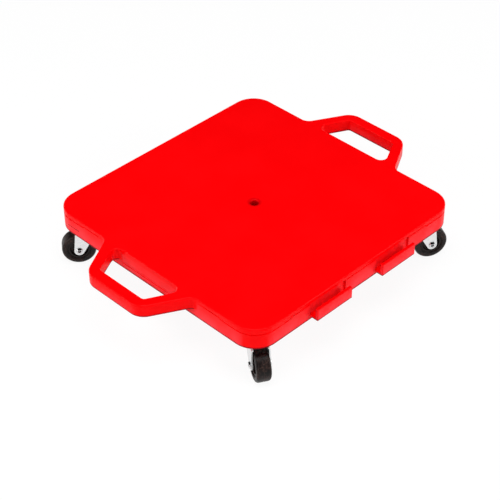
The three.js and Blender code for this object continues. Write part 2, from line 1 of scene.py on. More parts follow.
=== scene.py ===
"""The visual model of a square moulded scooter board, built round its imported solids.

Shapes are drawn in millimetres and turned into metres when they are put in place. The floor is
z = 0, the hooks are on the -Y side and the hand loops on the -X and +X sides.
"""

import math

import bmesh
import bpy
from mathutils import Matrix, Vector


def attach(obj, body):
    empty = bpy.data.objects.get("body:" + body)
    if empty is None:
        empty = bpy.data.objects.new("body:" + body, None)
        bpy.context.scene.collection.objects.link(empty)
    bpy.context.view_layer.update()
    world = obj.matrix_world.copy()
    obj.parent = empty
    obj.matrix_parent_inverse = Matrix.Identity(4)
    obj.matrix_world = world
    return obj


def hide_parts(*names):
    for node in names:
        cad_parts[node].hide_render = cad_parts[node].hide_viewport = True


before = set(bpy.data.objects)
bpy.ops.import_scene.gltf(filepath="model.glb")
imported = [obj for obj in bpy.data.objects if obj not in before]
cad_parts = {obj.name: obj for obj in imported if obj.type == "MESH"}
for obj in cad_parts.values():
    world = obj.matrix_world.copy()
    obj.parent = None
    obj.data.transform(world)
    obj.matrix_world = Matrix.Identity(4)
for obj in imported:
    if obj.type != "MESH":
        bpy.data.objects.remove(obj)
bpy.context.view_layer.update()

MM = 0.001
X, Y, Z = range(3)

# Fits and levels above the floor
SEAT_GAP = 0.3
OVERRUN = 5.0
AXLE_Z = 25.0
CROWN_LOW_Z = 52.4
CROWN_TOP_Z = 54.4
DOME_TOP_Z = 58.2
RACE_LOW_Z = 60.6
BALL_Z = 61.1
SKIRT_LOW_Z = 66.6
PLATE_LOW_Z = 66.9
PLATE_TOP_Z = 69.4
DECK_TOP_Z = 99.6
DECK_CENTRE_Y = 6.45

# Deck moulding, drawn with its top face at z = 0
DECK_HALF = 203.2
DECK_CORNER = 36.0
DECK_DEPTH = 33.0
TOP_THICKNESS = 4.0
SKIRT = 3.5
EDGE_ROUND = 2.4
FOOT_ROUND = 0.5
FOOT_EASE = 0.15
RIB_THICKNESS = 2.4
RIB_DEPTH = 29.9
RIB_COUNT = 7
POCKET_CORNER = 1.5
ROOF_ROUND = 0.8
ROPE_HOLE_RADIUS = 6.35
ROPE_BOSS_RADIUS = 11.35
ROPE_HOLE_ROUND = 2.4
ROPE_HOLE_FOOT_ROUND = 0.5

# Groove under the rim
RIM_DEPTH = 6.0
GROOVE_WIDTH = 1.6
GROOVE_DEPTH = 1.2
GROOVE_LIP = 0.3
CORNER_ZONE = 66.0
CORNER_DROP = 2.2

# Short witness line that the mould leaves on the left wall, near the rear corner
WITNESS_SPAN = (148.0, 173.0)
WITNESS_DROP = 20.6
WITNESS_WIDTH = 0.9
WITNESS_DEPTH = 1.0

# Hand loops
LOOP_REACH = 66.3
LOOP_THICKNESS = 19.8
LOOP_BAR = 17.0
LOOP_ROOT_HALF = 88.7
LOOP_TIP_HALF = 52.2
LOOP_TIP_RADIUS = 25.0
LOOP_ROOT_RADIUS = 16.0
LOOP_ROOT_SINK = 0.2
LOOP_FOOT_ROUND = 1.2
LOOP_WALL = 3.2
LOOP_RIB_COUNT = 3
SLOT_ROOT_HALF = 69.5
SLOT_TIP_HALF = 43.8
SLOT_ROOT_RADIUS = 10.0
SLOT_TIP_RADIUS = 6.0
SLOT_EDGE_ROUND = 1.6

# Linking hooks and the notches in the far skirt
HOOK_REACH = 12.9
HOOK_WIDTH = 67.8
HOOK_MIDDLE = 65.2
HOOK_TOP_DROP = 10.4
HOOK_HEIGHT = 19.3
HOOK_LIP = 4.8
HOOK_FLOOR = 3.4
HOOK_ROUND = 1.2
HOOK_END_ROUND = 0.7
HOOK_RECESS = 3.0
HOOK_RECESS_ROUND = 0.8
HOOK_END_CLEARANCE = 1.2
NOTCH_CLEARANCE = 2.0

# Caster pads
CASTER_OFFSET = 164.2
PAD_CELL = 38.6
POST_HALF = 5.1
PILOT_RADIUS = 2.3
PILOT_DEPTH = 17.0

# Caster plate with its upper race, and the balls in their cage
SHEET = 2.0
PLATE_SIDE = 47.0
PLATE_CORNER = 6.0
RACE_INNER_RADIUS = 17.2
RACE_OUTER_RADIUS = 19.0
RACE_SEAT_RADIUS = 22.0
RACE_SEAT_DEPTH = 0.5
RACE_BEND = 1.6
RACE_PITCH_RADIUS = 13.5
BALL_RADIUS = 2.6
BALL_COUNT = 8
CAGE_HALF_WIDTH = 0.9
CAGE_HALF_HEIGHT = 0.8

# Plate screws and their cross recesses
SCREW_HALF_SPACING = 18.0
SCREW_HOLE_RADIUS = 2.4
SCREW_RADIUS = 2.0
SCREW_LENGTH = 16.0
SCREW_POINT = 0.5
SCREW_HEAD_RADIUS = 4.0
SCREW_HEAD_HEIGHT = 2.6
SCREW_FACE_RADIUS = 2.9
SCREW_FACE_DROP = 1.5
SCREW_CAP_RADIUS = 0.9
CROSS_ARM = 2.1
CROSS_HALF = 0.55
CROSS_DEPTH = 1.7
CROSS_TAPER = 0.35
CROSS_FLARE = 0.05
CROSS_START = 1.0

# Kingpin and thrust washer
KINGPIN_RADIUS = 4.0
KINGPIN_HOLE_RADIUS = 4.4
KINGPIN_HEAD_RADIUS = 7.5
KINGPIN_HEAD_HEIGHT = 2.4
KINGPIN_HEAD_CROWN = 0.4
KINGPIN_FACE_RADIUS = 5.0
KINGPIN_END_RADIUS = 6.2
KINGPIN_END_HEIGHT = 1.8
CAP_RADIUS = 2.0
WASHER_RADIUS = 9.4

# Fork
TRAIL = 23.4
LEG_INNER = 11.5
LEG_OUTER = 13.5
LEG_END_RADIUS = 7.4
LEG_LEADING_LEAN = math.radians(30)
LEG_TRAILING_LEAN = math.radians(6)
LEG_ROOT_ROUND = 4.0
STRIP_BEND = 3.4
CROWN_NOSE = 9.0
CROWN_NOSE_ROUND = 1.5
CROWN_LIP = 2.6
CROWN_CUT = 20.5
CROWN_CUT_CORNER = 4.0
CROWN_CUT_MARGIN = 1.4
DOME_FOOT_RADIUS = 18.5
DOME_TOP_RADIUS = 16.5
DOME_FOOT_RISE = 0.4
DOME_STEP = 0.2
DOME_SHOULDER = 1.6
DOME_BORE_RADIUS = 9.8
AXLE_HOLE_RADIUS = 3.5

# Wheel
WHEEL_RADIUS = 25.0
WHEEL_HALF = 10.5
TYRE_SHOULDER = 4.0
TYRE_BORE_RADIUS = 16.4
TYRE_STEP_RADIUS = 17.9
TYRE_STEP_FOOT_RADIUS = 17.2
TYRE_STEP_DEPTH = 1.0
PARTING_DEPTH = 0.12
PARTING_HALF = 0.6
PARTING_EDGE_HALF = 1.0
CORE_RADIUS = 16.1
CORE_HALF = 8.9
CORE_RIM_RADIUS = 13.1
WEB_HALF = 4.5
WEB_OUTER_RADIUS = 12.9
WEB_INNER_RADIUS = 7.7
WEB_OUTER_BEND = 1.2
WEB_INNER_BEND = 1.4
HUB_HALF = 11.0
HUB_RADIUS = 7.4
HUB_BORE_RADIUS = 5.1

# Axle rivet and its bush
RIVET_RADIUS = 3.2
RIVET_BORE_RADIUS = 2.4
RIVET_BORE_DEPTH = 5.0
RIVET_FLARE = 1.6
RIVET_FLARE_RADIUS = 5.2
RIVET_FACE_RADIUS = 4.5
RIVET_MOUTH_ROUND = 0.7
RIVET_CAP_RADIUS = 0.8
BUSH_RADIUS = 4.7
BUSH_BORE_RADIUS = 3.6
BUSH_EDGE = 0.25

# Edge radii of the small pieces, from the sharpest up
HAIR_EDGE = 0.1
CRISP_EDGE = 0.2
FINE_EDGE = 0.3
PLAIN_EDGE = 0.4
BROKEN_EDGE = 0.5
EASED_EDGE = 0.6
SOFT_EDGE = 0.8
BLUNT_EDGE = 0.9
ROUND_EDGE = 1.0

# How finely round shapes are drawn
TINY_STEPS = 2
COARSE_STEPS = 3
BEND_STEPS = 4
ROUND_STEPS = 5
TYRE_EDGE_STEPS = 6
EDGE_STEPS = 7
FILLET_STEPS = 8
LONG_FILLET_STEPS = 12
CORNER_STEPS = 16
PILOT_STEPS = 16
HOLE_STEPS = 20
BALL_STEPS = 20
BALL_RINGS = 12
SMALL_STEPS = 24
PIN_STEPS = 40
TURNED_STEPS = 64
TYRE_STEPS = 96
FLOOR_STEPS = 96
SOFT_ANGLE = math.radians(32)
BEVEL_ANGLE = math.radians(38)
FLAT_FACE_WEIGHT = 80

# Where painted shade, a painted floor reflection, scuffs and dust are, in millimetres from the edge
# or level named, and how strong they are
# Painted shade in the witness groove
WITNESS_SHADE = 0.9
# Painted shade deep in the rivets' bores and a painted shadow over the top of their flared ends
RIVET_BORE_SHADE = 0.5
RIVET_BORE_SHADE_RADIUS = 2.5
RIVET_BORE_SHADE_DEPTH = 2.6
RIVET_FACE_SHADE_RADIUS = 3.4
RIVET_FACE_SHADE_RISE = 0.8
# Painted shade in and round the rope hole
HOLE_SHADE = 0.36
HOLE_SHADE_FADE = (0.5, 6)
# A line of painted shade along the feet
FOOT_SHADE = 0.8
FOOT_SHADE_FADE = (1.4, 3.2)
FOOT_SHADE_START = (1, 3)
# A painted reflection of the pale floor on the skirt's flat walls, strongest near the floor
PAINTED_SHEEN = 0.42
PAINTED_SHEEN_END = (23, 26)
PAINTED_SHEEN_FADE = (6, 24)
PAINTED_SHEEN_FADE_SHARE = 0.65
SCUFFS = 0.05
TYRE_DUST = 0.4

# The Mix node's sockets that deal with colours
MIX_SHARE, MIX_FIRST, MIX_SECOND, MIX_RESULT = 0, 6, 7, 2

# How far a face has to look along an axis to count as a top, a flat wall or a level face
TOP_FACE = (0.9, 0.99)
FLAT_WALL = (0.93, 0.995)
LEVEL_FACE = (0.3, 0.7)

# Colours as they look on a screen, from 0 to 255
RED_DEEP = (248, 0, 4)
RED_BRIGHT = (252, 2, 6)
RED_SCUFFED = (255, 90, 84)
# The next colour is a pale pink painted as the floor's reflection on the lower skirt
RED_PAINTED_SHEEN = (255, 78, 88)
# The next colour is a dark red painted as shade along the feet
RED_FOOT_SHADE = (100, 6, 16)
# The next colour is a dark red painted as shade round the rope hole and in the witness line
RED_PAINTED_SHADE = (96, 0, 4)
RUBBER_BLACK = (6, 1, 1)
RUBBER_WORN = (32, 18, 15)
RUBBER_DUSTY = (104, 76, 66)
CORE_BLACK = (22, 14, 13)
CORE_WORN = (34, 25, 23)
ZINC_DULL = (222, 224, 226)
ZINC_BRIGHT = (236, 236, 234)
STEEL_DULL = (208, 208, 210)
STEEL_BRIGHT = (228, 228, 228)
# The next colour is a near-black painted as shade on the rivets
STEEL_PAINTED_SHADE = (16, 14, 13)
BALL_BRIGHT = (184, 186, 190)
BALL_GREASED = (150, 146, 138)

# How strongly the plastics and the rubber mirror
RED_MIRROR = 0.045
RUBBER_MIRROR = 0.2
CORE_MIRROR = 0.18

# Each corner's side and end, as -1 or 1 along X and Y, and the direction in which its caster
# trails at rest, in degrees from +X
CORNERS = {
    "front_left": (-1, -1, -120),
    "front_right": (1, -1, -29),
    "rear_left": (-1, 1, 143),
    "rear_right": (1, 1, 35),
}

# Studio, in metres and watts
FLOOR_RADIUS = 9.0
FLOOR_PAINT = (0.9, 0.9, 0.9, 1)
FLOOR_GLOW = 1.02
FLOOR_GLOW_SHARE = 0.9
WORLD_COLOUR = (1, 1, 1, 1)
HORIZON_HEIGHT = 0.12
CEILING_DIMMING = 0.95
ABOVE_FLOOR = (0, 0, 0.05)

# Each lamp's place, aim, width and power
LAMPS = {
    "overhead_softbox": ((-0.35, -0.35, 2.5), (0, 0, 0), 1.8, 49),
    "left_softbox": ((-2.25, 1.1, 1.1), ABOVE_FLOOR, 1.4, 34),
    "front_softbox": ((-1.8, -1.8, 1.0), ABOVE_FLOOR, 1.2, 9),
    "right_softbox": ((1.1, -2.25, 1.1), ABOVE_FLOOR, 1.4, 34),
}

# The photograph's viewpoint, found from the deck's corners and edges
CAMERA_PLACE = (-1.18685, -1.17335, 1.36248)
CAMERA_RIGHT = (0.70540107, -0.70879654, -0.0040977)
CAMERA_UP = (0.4473641, 0.44072196, 0.77822202)
CAMERA_BACK = (-0.54979513, -0.55079181, 0.62797587)
CAMERA_LENS = 105.77
CAMERA_SENSOR = 36.0
CAMERA_CLIP = (0.05, 50.0)


# Outlines and profiles


def rounded_outline(corners, steps=FILLET_STEPS):
    """Points round an outline of (x, y, radius) corners, with normals that point outwards when
    the outline is anticlockwise."""
    outline = []
    for i, (x, y, radius) in enumerate(corners):
        corner = Vector((x, y))
        to_last = (Vector(corners[i - 1][:2]) - corner).normalized()
        to_next = (Vector(corners[(i + 1) % len(corners)][:2]) - corner).normalized()
        outwards = 1 if to_last.cross(to_next) < 0 else -1
        half = to_last.angle(to_next) / 2
        inwards = (to_last + to_next).normalized()
        if radius == 0:
            outline.append((corner, -inwards * outwards / math.sin(half)))
            continue
        centre = corner + inwards * radius / math.sin(half)
        start = corner + to_last * radius / math.tan(half) - centre
        sweep = (math.pi - 2 * half) * outwards
        for step in range(steps + 1):
            spoke = Matrix.Rotation(sweep * step / steps, 2) @ start
            outline.append((centre + spoke, spoke.normalized() * outwards))
    return outline


def rounded_box(x1, x2, y1, y2, radius, steps):
    corners = [(x1, y1), (x2, y1), (x2, y2), (x1, y2)]
    return rounded_outline([(x, y, radius) for x, y in corners], steps)


def rounded_square(half, radius, steps=CORNER_STEPS):
    return rounded_box(-half, half, -half, half, radius, steps)


def circle(radius, steps=SMALL_STEPS, x=0, y=0):
    spokes = [Vector((math.cos(a), math.sin(a))) for a in spread(steps)]
    return [(Vector((x, y)) + spoke * radius, spoke) for spoke in spokes]


def spread(steps):
    return [2 * math.pi * i / steps for i in range(steps)]


def evenly_spaced(count, reach):
    return [reach * (2 * i / (count - 1) - 1) for i in range(count)]


def wall_profile(low, high, round_low=0.0, round_high=0.0, steps=ROUND_STEPS):
    """(inset, z) from the bottom up, with quarter rounds. A negative round flares outwards."""
    profile = []
    for level, size, rising in ((low, round_low, 1), (high, round_high, -1)):
        arc = [math.pi / 2 * i / steps for i in range(steps + 1)] if size else [math.pi / 2]
        points = [
            (size * (1 - math.sin(a)), level + rising * abs(size) * (1 - math.cos(a)))
            for a in arc
        ]
        profile += points if rising > 0 else points[::-1]
    return profile


def flared_profile(low, high, round_low, round_high):
    """The wall of a cutter that flares at both ends, so that the edges it leaves are round."""
    wall = wall_profile(low, high, -round_low, -round_high)
    (low_inset, low_z), (high_inset, high_z) = wall[0], wall[-1]
    return [(low_inset, low_z - OVERRUN), *wall, (high_inset, high_z + OVERRUN)]


def turned_profile(corners, steps=COARSE_STEPS):
    """(radius, z) points round an outline of (radius, z, edge radius) corners."""
    return [tuple(point) for point, _ in rounded_outline(corners, steps)]


def both_ends(corners):
    """The corners of a profile's +Z end, and the same again mirrored at its -Z end."""
    return [*corners, *[(radius, -z, edge) for radius, z, edge in reversed(corners)]]


# Meshes


def in_scene(name, data):
    """A new object that holds a mesh, a lamp or a camera."""
    holder = bpy.data.objects.new(name, data)
    bpy.context.scene.collection.objects.link(holder)
    return holder


def finish_mesh(bm, name="blank"):
    bmesh.ops.recalc_face_normals(bm, faces=bm.faces)
    mesh = bpy.data.meshes.new(name)
    bm.to_mesh(mesh)
    bm.free()
    return in_scene(name, mesh)


def wall_in(bm, rings):
    """Walls from each ring to the next, and a face across the first and the last."""
    for low, high in zip(rings, rings[1:]):
        for i in range(len(low)):
            bm.faces.new((low[i - 1], low[i], high[i], high[i - 1]))
    bm.faces.new(rings[0][::-1])
    bm.faces.new(rings[-1])


def moulded(outline, profile):
    """A closed solid whose wall follows an outline, offset inwards by each (inset, z)."""
    return moulded_set([outline], profile)


def moulded_set(outlines, profile):
    """One mesh of separate solids, all with the same wall profile."""
    bm = bmesh.new()
    for outline in outlines:
        wall_in(bm, [
            [bm.verts.new((*(point - normal * inset), z)) for point, normal in outline]
            for inset, z in profile
        ])
    return finish_mesh(bm)


def turned(profile, steps=TURNED_STEPS):
    """A closed (radius, z) profile turned about the Z axis. A point at radius 0 is on the axis."""
    bm = bmesh.new()
    rings = [
        [
            bm.verts.new((radius * math.cos(a), radius * math.sin(a), z))
            for a in spread(steps if radius else 1)
        ]
        for radius, z in profile
    ]
    for i, ring in enumerate(rings):
        after = rings[(i + 1) % len(rings)]
        for j in range(steps):
            corners = [*ring_edge(ring, j), *reversed(ring_edge(after, j))]
            if len(corners) > 2:
                bm.faces.new(corners)
    return finish_mesh(bm)


def ring_edge(ring, j):
    """The edge of a ring that ends at its point j, or the one point of a ring on the axis."""
    return ring if len(ring) == 1 else [ring[j - 1], ring[j]]


def blocks(spans):
    """One mesh of separate boxes, each given as (low x, high x, low y, high y, low z, high z)."""
    bm = bmesh.new()
    for x1, x2, y1, y2, z1, z2 in spans:
        place = Matrix.Translation(((x1 + x2) / 2, (y1 + y2) / 2, (z1 + z2) / 2))
        size = Matrix.Diagonal((x2 - x1, y2 - y1, z2 - z1, 1))
        bmesh.ops.create_cube(bm, size=1, matrix=place @ size)
    return finish_mesh(bm)


def shaped(blank, operation, *tools):
    """The blank cut by, joined to or kept inside each tool in turn. The tools are used up."""
    for tool in tools:
        change = blank.modifiers.new("shape", "BOOLEAN")
        change.operation = operation
        change.solver = "MANIFOLD"
        change.object = tool
    settled(blank)
    for tool in tools:
        bpy.data.objects.remove(tool)
    return blank


def settled(blank):
    """The blank with its modifiers worked into its mesh."""
    bpy.context.view_layer.update()
    worked = blank.evaluated_get(bpy.context.evaluated_depsgraph_get())
    mesh = bpy.data.meshes.new_from_object(worked)
    blank.modifiers.clear()
    blank.data = mesh
    return blank


def cut(blank, *tools):
    return shaped(blank, "DIFFERENCE", *tools)


def joined(blank, *tools):
    return shaped(blank, "UNION", *tools)


def kept_inside(blank, *tools):
    return shaped(blank, "INTERSECT", *tools)


def moved(blank, matrix):
    blank.data.transform(matrix)
    return blank


def copied(pattern, matrix):
    return moved(in_scene(pattern.name, pattern.data.copy()), matrix)


def mirrored(pattern):
    """A copy on the other side of x = 0."""
    flipped = copied(pattern, Matrix.Diagonal((-1, 1, 1, 1)))
    flipped.data.flip_normals()
    return flipped


def eased(blank, width, steps):
    """Sharp edges broken by a small bevel."""
    bevel = blank.modifiers.new("ease", "BEVEL")
    bevel.width = width
    bevel.segments = steps
    bevel.limit_method = "ANGLE"
    bevel.angle_limit = BEVEL_ANGLE
    return settled(blank)


def softened(blank):
    """Smooth shading that keeps flat faces flat and clear edges sharp."""
    blank.data.shade_smooth()
    blank.data.set_sharp_from_angle(angle=SOFT_ANGLE)
    weights = blank.modifiers.new("flat faces", "WEIGHTED_NORMAL")
    weights.keep_sharp = True
    weights.weight = FLAT_FACE_WEIGHT
    return settled(blank)


def mark_painted_shade(blank, painted_shade_on):
    """Writes how much painted shade each face gets, from 0 to 1, which the finishes read and darken.
    """
    marks = blank.data.attributes.new("painted_shade", "FLOAT", "FACE")
    for face, mark in zip(blank.data.polygons, marks.data):
        mark.value = painted_shade_on(face)


# Deck


def deck_outline():
    """The deck's square, with points at both ends of each corner zone of the groove."""
    zone, ramp = DECK_HALF - CORNER_ZONE, GROOVE_WIDTH / 4
    outline = rounded_square(DECK_HALF, DECK_CORNER)
    split = []
    for i, (point, normal) in enumerate(outline):
        last, last_normal = outline[i - 1]
        if (point - last).length > CORNER_ZONE:
            along = (point - last).normalized()
            middle = (point + last) / 2
            for offset in (-zone - ramp, -zone + ramp, zone - ramp, zone + ramp):
                split.append((middle + along * offset, last_normal))
        split.append((point, normal))
    return split


def slab_profile():
    """(inset, z, whether it drops at the corners) up the deck's wall and over its top edge."""
    low, high, lip = -RIM_DEPTH - GROOVE_WIDTH, -RIM_DEPTH, GROOVE_LIP
    foot = [
        (FOOT_ROUND, -DECK_DEPTH, False), (FOOT_EASE, -DECK_DEPTH + FOOT_EASE, False),
        (0, -DECK_DEPTH + FOOT_ROUND, False),
    ]
    groove = [
        (0, low - lip, True), (lip / 2, low, True), (GROOVE_DEPTH, low + lip, True),
        (GROOVE_DEPTH, high - lip, True), (lip / 2, high, True), (0, high + lip, True),
    ]
    top = wall_profile(-EDGE_ROUND - OVERRUN, 0, 0, EDGE_ROUND, EDGE_STEPS)[1:]
    return foot + groove + [(inset, z, False) for inset, z in top]


def make_slab():
    """The outer form: wall, groove under the rim and rounded top edge."""
    zone, outline = DECK_HALF - CORNER_ZONE, deck_outline()
    bm = bmesh.new()
    rings = []
    for inset, z, drops in slab_profile():
        ring = []
        for point, normal in outline:
            in_corner = min(abs(point.x), abs(point.y)) > zone
            drop = CORNER_DROP if in_corner and drops else 0
            ring.append(bm.verts.new((*(point - normal * inset), z - drop)))
        rings.append(ring)
    wall_in(bm, rings)
    return finish_mesh(bm)


def loop_outline(inset):
    """The loop's outer outline on the +X side, its foot buried in the deck."""
    slope = (LOOP_TIP_HALF - LOOP_ROOT_HALF) / LOOP_REACH
    root_y = LOOP_ROOT_HALF - inset * math.hypot(1, slope)
    tip_y = root_y + slope * (LOOP_REACH - inset)
    tip_x = DECK_HALF + LOOP_REACH - inset
    root_x = DECK_HALF - LOOP_ROOT_SINK
    foot_x = DECK_HALF - LOOP_ROOT_RADIUS
    foot_y = LOOP_ROOT_HALF + LOOP_ROOT_RADIUS
    tip, root = LOOP_TIP_RADIUS - inset, LOOP_ROOT_RADIUS + inset
    return rounded_outline([
        (foot_x, -foot_y, 0), (root_x, -foot_y, 0), (root_x, -root_y, root), (tip_x, -tip_y, tip),
        (tip_x, tip_y, tip), (root_x, root_y, root), (root_x, foot_y, 0), (foot_x, foot_y, 0),
    ], LONG_FILLET_STEPS)


def slot_outline(margin):
    """The hand slot between the arms, the bar and the deck's own wall, grown by a margin."""
    reach = LOOP_REACH - LOOP_BAR
    slope = (SLOT_TIP_HALF - SLOT_ROOT_HALF) / reach
    lean = math.hypot(1, slope)
    root_y = SLOT_ROOT_HALF + margin * (lean - slope)
    tip_y = SLOT_TIP_HALF + margin * (lean + slope)
    inner_x, tip_x = DECK_HALF - margin, DECK_HALF + reach + margin
    root, tip = SLOT_ROOT_RADIUS + margin, SLOT_TIP_RADIUS + margin
    return rounded_outline([
        (inner_x, -root_y, root), (tip_x, -tip_y, tip), (tip_x, tip_y, tip), (inner_x, root_y, root),
    ])


def make_loop():
    wall = wall_profile(-LOOP_THICKNESS, 0, LOOP_FOOT_ROUND, EDGE_ROUND, EDGE_STEPS)
    return moulded(loop_outline(0), wall)


def make_slot():
    flare = flared_profile(-LOOP_THICKNESS, 0, SLOT_EDGE_ROUND / 2, SLOT_EDGE_ROUND)
    return moulded(slot_outline(0), flare)


def make_loop_channel():
    """The channel under the loop, open downwards, with thin ribs left standing across it."""
    low = -LOOP_THICKNESS - OVERRUN
    channel = moulded(loop_outline(LOOP_WALL), wall_profile(low, -TOP_THICKNESS, 0, ROOF_ROUND))
    island = moulded(slot_outline(LOOP_WALL), wall_profile(low - OVERRUN, OVERRUN))
    deck_block = blocks([(0, DECK_HALF, -DECK_HALF, DECK_HALF, low - OVERRUN, OVERRUN)])
    half = RIB_THICKNESS / 2
    ribs = blocks([
        (DECK_HALF + OVERRUN, DECK_HALF + 2 * LOOP_REACH, y - half, y + half, low - OVERRUN, 0)
        for y in evenly_spaced(LOOP_RIB_COUNT, LOOP_TIP_HALF)
    ])
    return cut(channel, island, deck_block, ribs)


def cell_outline(x1, x2, y1, y2):
    return rounded_box(x1, x2, y1, y2, POCKET_CORNER, COARSE_STEPS)


def pocket_outlines():
    """The cells of the rib grid, apart from the four that hold the caster pads."""
    half = RIB_THICKNESS / 2
    lines = evenly_spaced(RIB_COUNT, CASTER_OFFSET - PAD_CELL / 2)
    lows = [-DECK_HALF, *[at + half for at in lines]]
    highs = [*[at - half for at in lines], DECK_HALF]
    ends = (0, RIB_COUNT)
    return [
        cell_outline(lows[i], highs[i], lows[j], highs[j])
        for i in range(RIB_COUNT + 1) for j in range(RIB_COUNT + 1)
        if not (i in ends and j in ends)
    ]


def pad_outlines():
    """The cells between a pad's walls and out to the skirt, at all four corners."""
    half, cell = RIB_THICKNESS / 2, PAD_CELL / 2
    near = (CASTER_OFFSET - cell + half, CASTER_OFFSET + cell - half)
    far = (CASTER_OFFSET + cell + half, DECK_HALF)
    outlines = []
    for side, end, _ in CORNERS.values():
        for (x1, x2), (y1, y2) in ((near, near), (near, far), (far, near), (far, far)):
            xs, ys = sorted((side * x1, side * x2)), sorted((end * y1, end * y2))
            outlines.append(cell_outline(*xs, *ys))
    return outlines


def screw_places():
    """Where a caster's four screws are, from its kingpin."""
    return [(x * SCREW_HALF_SPACING, y * SCREW_HALF_SPACING) for y in (-1, 1) for x in (-1, 1)]


def all_screw_places():
    return [
        (x + side * CASTER_OFFSET, y + end * CASTER_OFFSET)
        for side, end, _ in CORNERS.values() for x, y in screw_places()
    ]


def post_outlines():
    return [
        cell_outline(x - POST_HALF, x + POST_HALF, y - POST_HALF, y + POST_HALF)
        for x, y in all_screw_places()
    ]


def hook_spans(margin, y1, y2, z1, z2):
    """A box at each of the two hooks, wider than the hook by a margin at both ends."""
    reach = HOOK_WIDTH / 2
    return [
        (middle - reach - margin, middle + reach + margin, y1, y2, z1, z2)
        for middle in (-HOOK_MIDDLE, HOOK_MIDDLE)
    ]


def make_hollow():
    """Everything that is taken out of the slab from below."""
    low = -DECK_DEPTH - OVERRUN
    inner = rounded_square(DECK_HALF - SKIRT, DECK_CORNER - SKIRT)
    mouth = moulded(inner, wall_profile(low, -RIB_DEPTH))
    roof = wall_profile(-RIB_DEPTH - OVERRUN / 2, -TOP_THICKNESS, 0, ROOF_ROUND, COARSE_STEPS)
    pockets = moulded_set(pocket_outlines() + pad_outlines(), roof)
    solid = wall_profile(low - OVERRUN, OVERRUN)
    boss = moulded(circle(ROPE_BOSS_RADIUS), solid)
    pockets = cut(pockets, boss, moulded_set(post_outlines(), solid))
    pockets = kept_inside(pockets, moulded(inner, solid))
    hollow = joined(pockets, mouth)
    lining = hook_spans(
        HOOK_END_CLEARANCE + SKIRT, -DECK_HALF, -DECK_HALF + HOOK_RECESS + SKIRT, low - OVERRUN, 0,
    )
    return cut(hollow, blocks(lining))


def make_hook(middle):
    """One hook: a floor and an upright lip, drawn as (along Y, up) and swept along X."""
    lip_y, root_y = -DECK_HALF - HOOK_REACH, -DECK_HALF + HOOK_RECESS + SKIRT / 2
    top, low = -HOOK_TOP_DROP, -HOOK_TOP_DROP - HOOK_HEIGHT
    floor = low + HOOK_FLOOR
    outline = rounded_outline([
        (lip_y, low, HOOK_ROUND), (root_y, low, 0), (root_y, floor, 0),
        (lip_y + HOOK_LIP, floor, HOOK_ROUND), (lip_y + HOOK_LIP, top, HOOK_ROUND),
        (lip_y, top, HOOK_ROUND),
    ], ROUND_STEPS)
    half = HOOK_WIDTH / 2
    hook = moulded(outline, wall_profile(-half, half, HOOK_END_ROUND, HOOK_END_ROUND, COARSE_STEPS))
    across = Matrix(((0, 0, 1, middle), (1, 0, 0, 0), (0, 1, 0, 0), (0, 0, 0, 1)))
    return moved(hook, across)


def make_recesses():
    """The wall stepped in behind each hook."""
    low = -HOOK_TOP_DROP - HOOK_HEIGHT + HOOK_FLOOR / 2
    recesses = blocks(hook_spans(
        HOOK_END_CLEARANCE, -DECK_HALF - OVERRUN, -DECK_HALF + HOOK_RECESS,
        low, -RIM_DEPTH - GROOVE_WIDTH / 2,
    ))
    return eased(recesses, HOOK_RECESS_ROUND, COARSE_STEPS)


def make_notches():
    """The gaps in the far skirt that take the hooks of the next board."""
    top = -HOOK_TOP_DROP - HOOK_HEIGHT + HOOK_FLOOR + NOTCH_CLEARANCE
    return blocks(hook_spans(
        NOTCH_CLEARANCE, DECK_HALF - SKIRT - OVERRUN, DECK_HALF + OVERRUN,
        -DECK_DEPTH - OVERRUN, top,
    ))


def make_pilots():
    return moulded_set(
        [circle(PILOT_RADIUS, PILOT_STEPS, x, y) for x, y in all_screw_places()],
        wall_profile(-RIB_DEPTH - OVERRUN, -RIB_DEPTH + PILOT_DEPTH),
    )


def make_rope_hole():
    flare = flared_profile(-RIB_DEPTH, 0, ROPE_HOLE_FOOT_ROUND, ROPE_HOLE_ROUND)
    return moulded(circle(ROPE_HOLE_RADIUS, PIN_STEPS), flare)


def make_witness_line():
    return blocks([(
        -DECK_HALF - OVERRUN, -DECK_HALF + WITNESS_DEPTH, *WITNESS_SPAN,
        -WITNESS_DROP - WITNESS_WIDTH, -WITNESS_DROP,
    )])


def make_deck():
    loop, channel, slot = make_loop(), make_loop_channel(), make_slot()
    deck = joined(make_slab(), loop, mirrored(loop))
    deck = cut(deck, make_hollow(), mirrored(channel), channel, mirrored(slot), slot)
    deck = cut(
        deck, make_recesses(), make_notches(), make_pilots(), make_rope_hole(), make_witness_line(),
    )
    deck = joined(deck, make_hook(-HOOK_MIDDLE), make_hook(HOOK_MIDDLE))
    # Painted shade in the witness groove
    mark_painted_shade(deck, deck_painted_shade)
    return moved(deck, Matrix.Translation((0, DECK_CENTRE_Y, DECK_TOP_Z)))


def deck_painted_shade(face):
    """Painted shade in the witness line, up to where the left wall turns into its rear corner."""
    middle = face.center
    depth, drop = middle.x + DECK_HALF, -WITNESS_DROP - middle.z
    in_span = WITNESS_SPAN[0] < middle.y < DECK_HALF - DECK_CORNER
    in_depth = SEAT_GAP < depth < WITNESS_DEPTH + SEAT_GAP
    in_width = -SEAT_GAP < drop < WITNESS_WIDTH + SEAT_GAP
    return WITNESS_SHADE if in_span and in_depth and in_width else 0.0


# Casters, drawn with the kingpin on the Z axis and the wheel trailing along +X


# Lays what is drawn about the Z axis along Y, about the axle
LAID = Matrix(((1, 0, 0, TRAIL), (0, 0, -1, 0), (0, 1, 0, AXLE_Z), (0, 0, 0, 1)))


def pin(radius, low, high, steps=TURNED_STEPS):
    return moulded(circle(radius, steps), wall_profile(low, high))


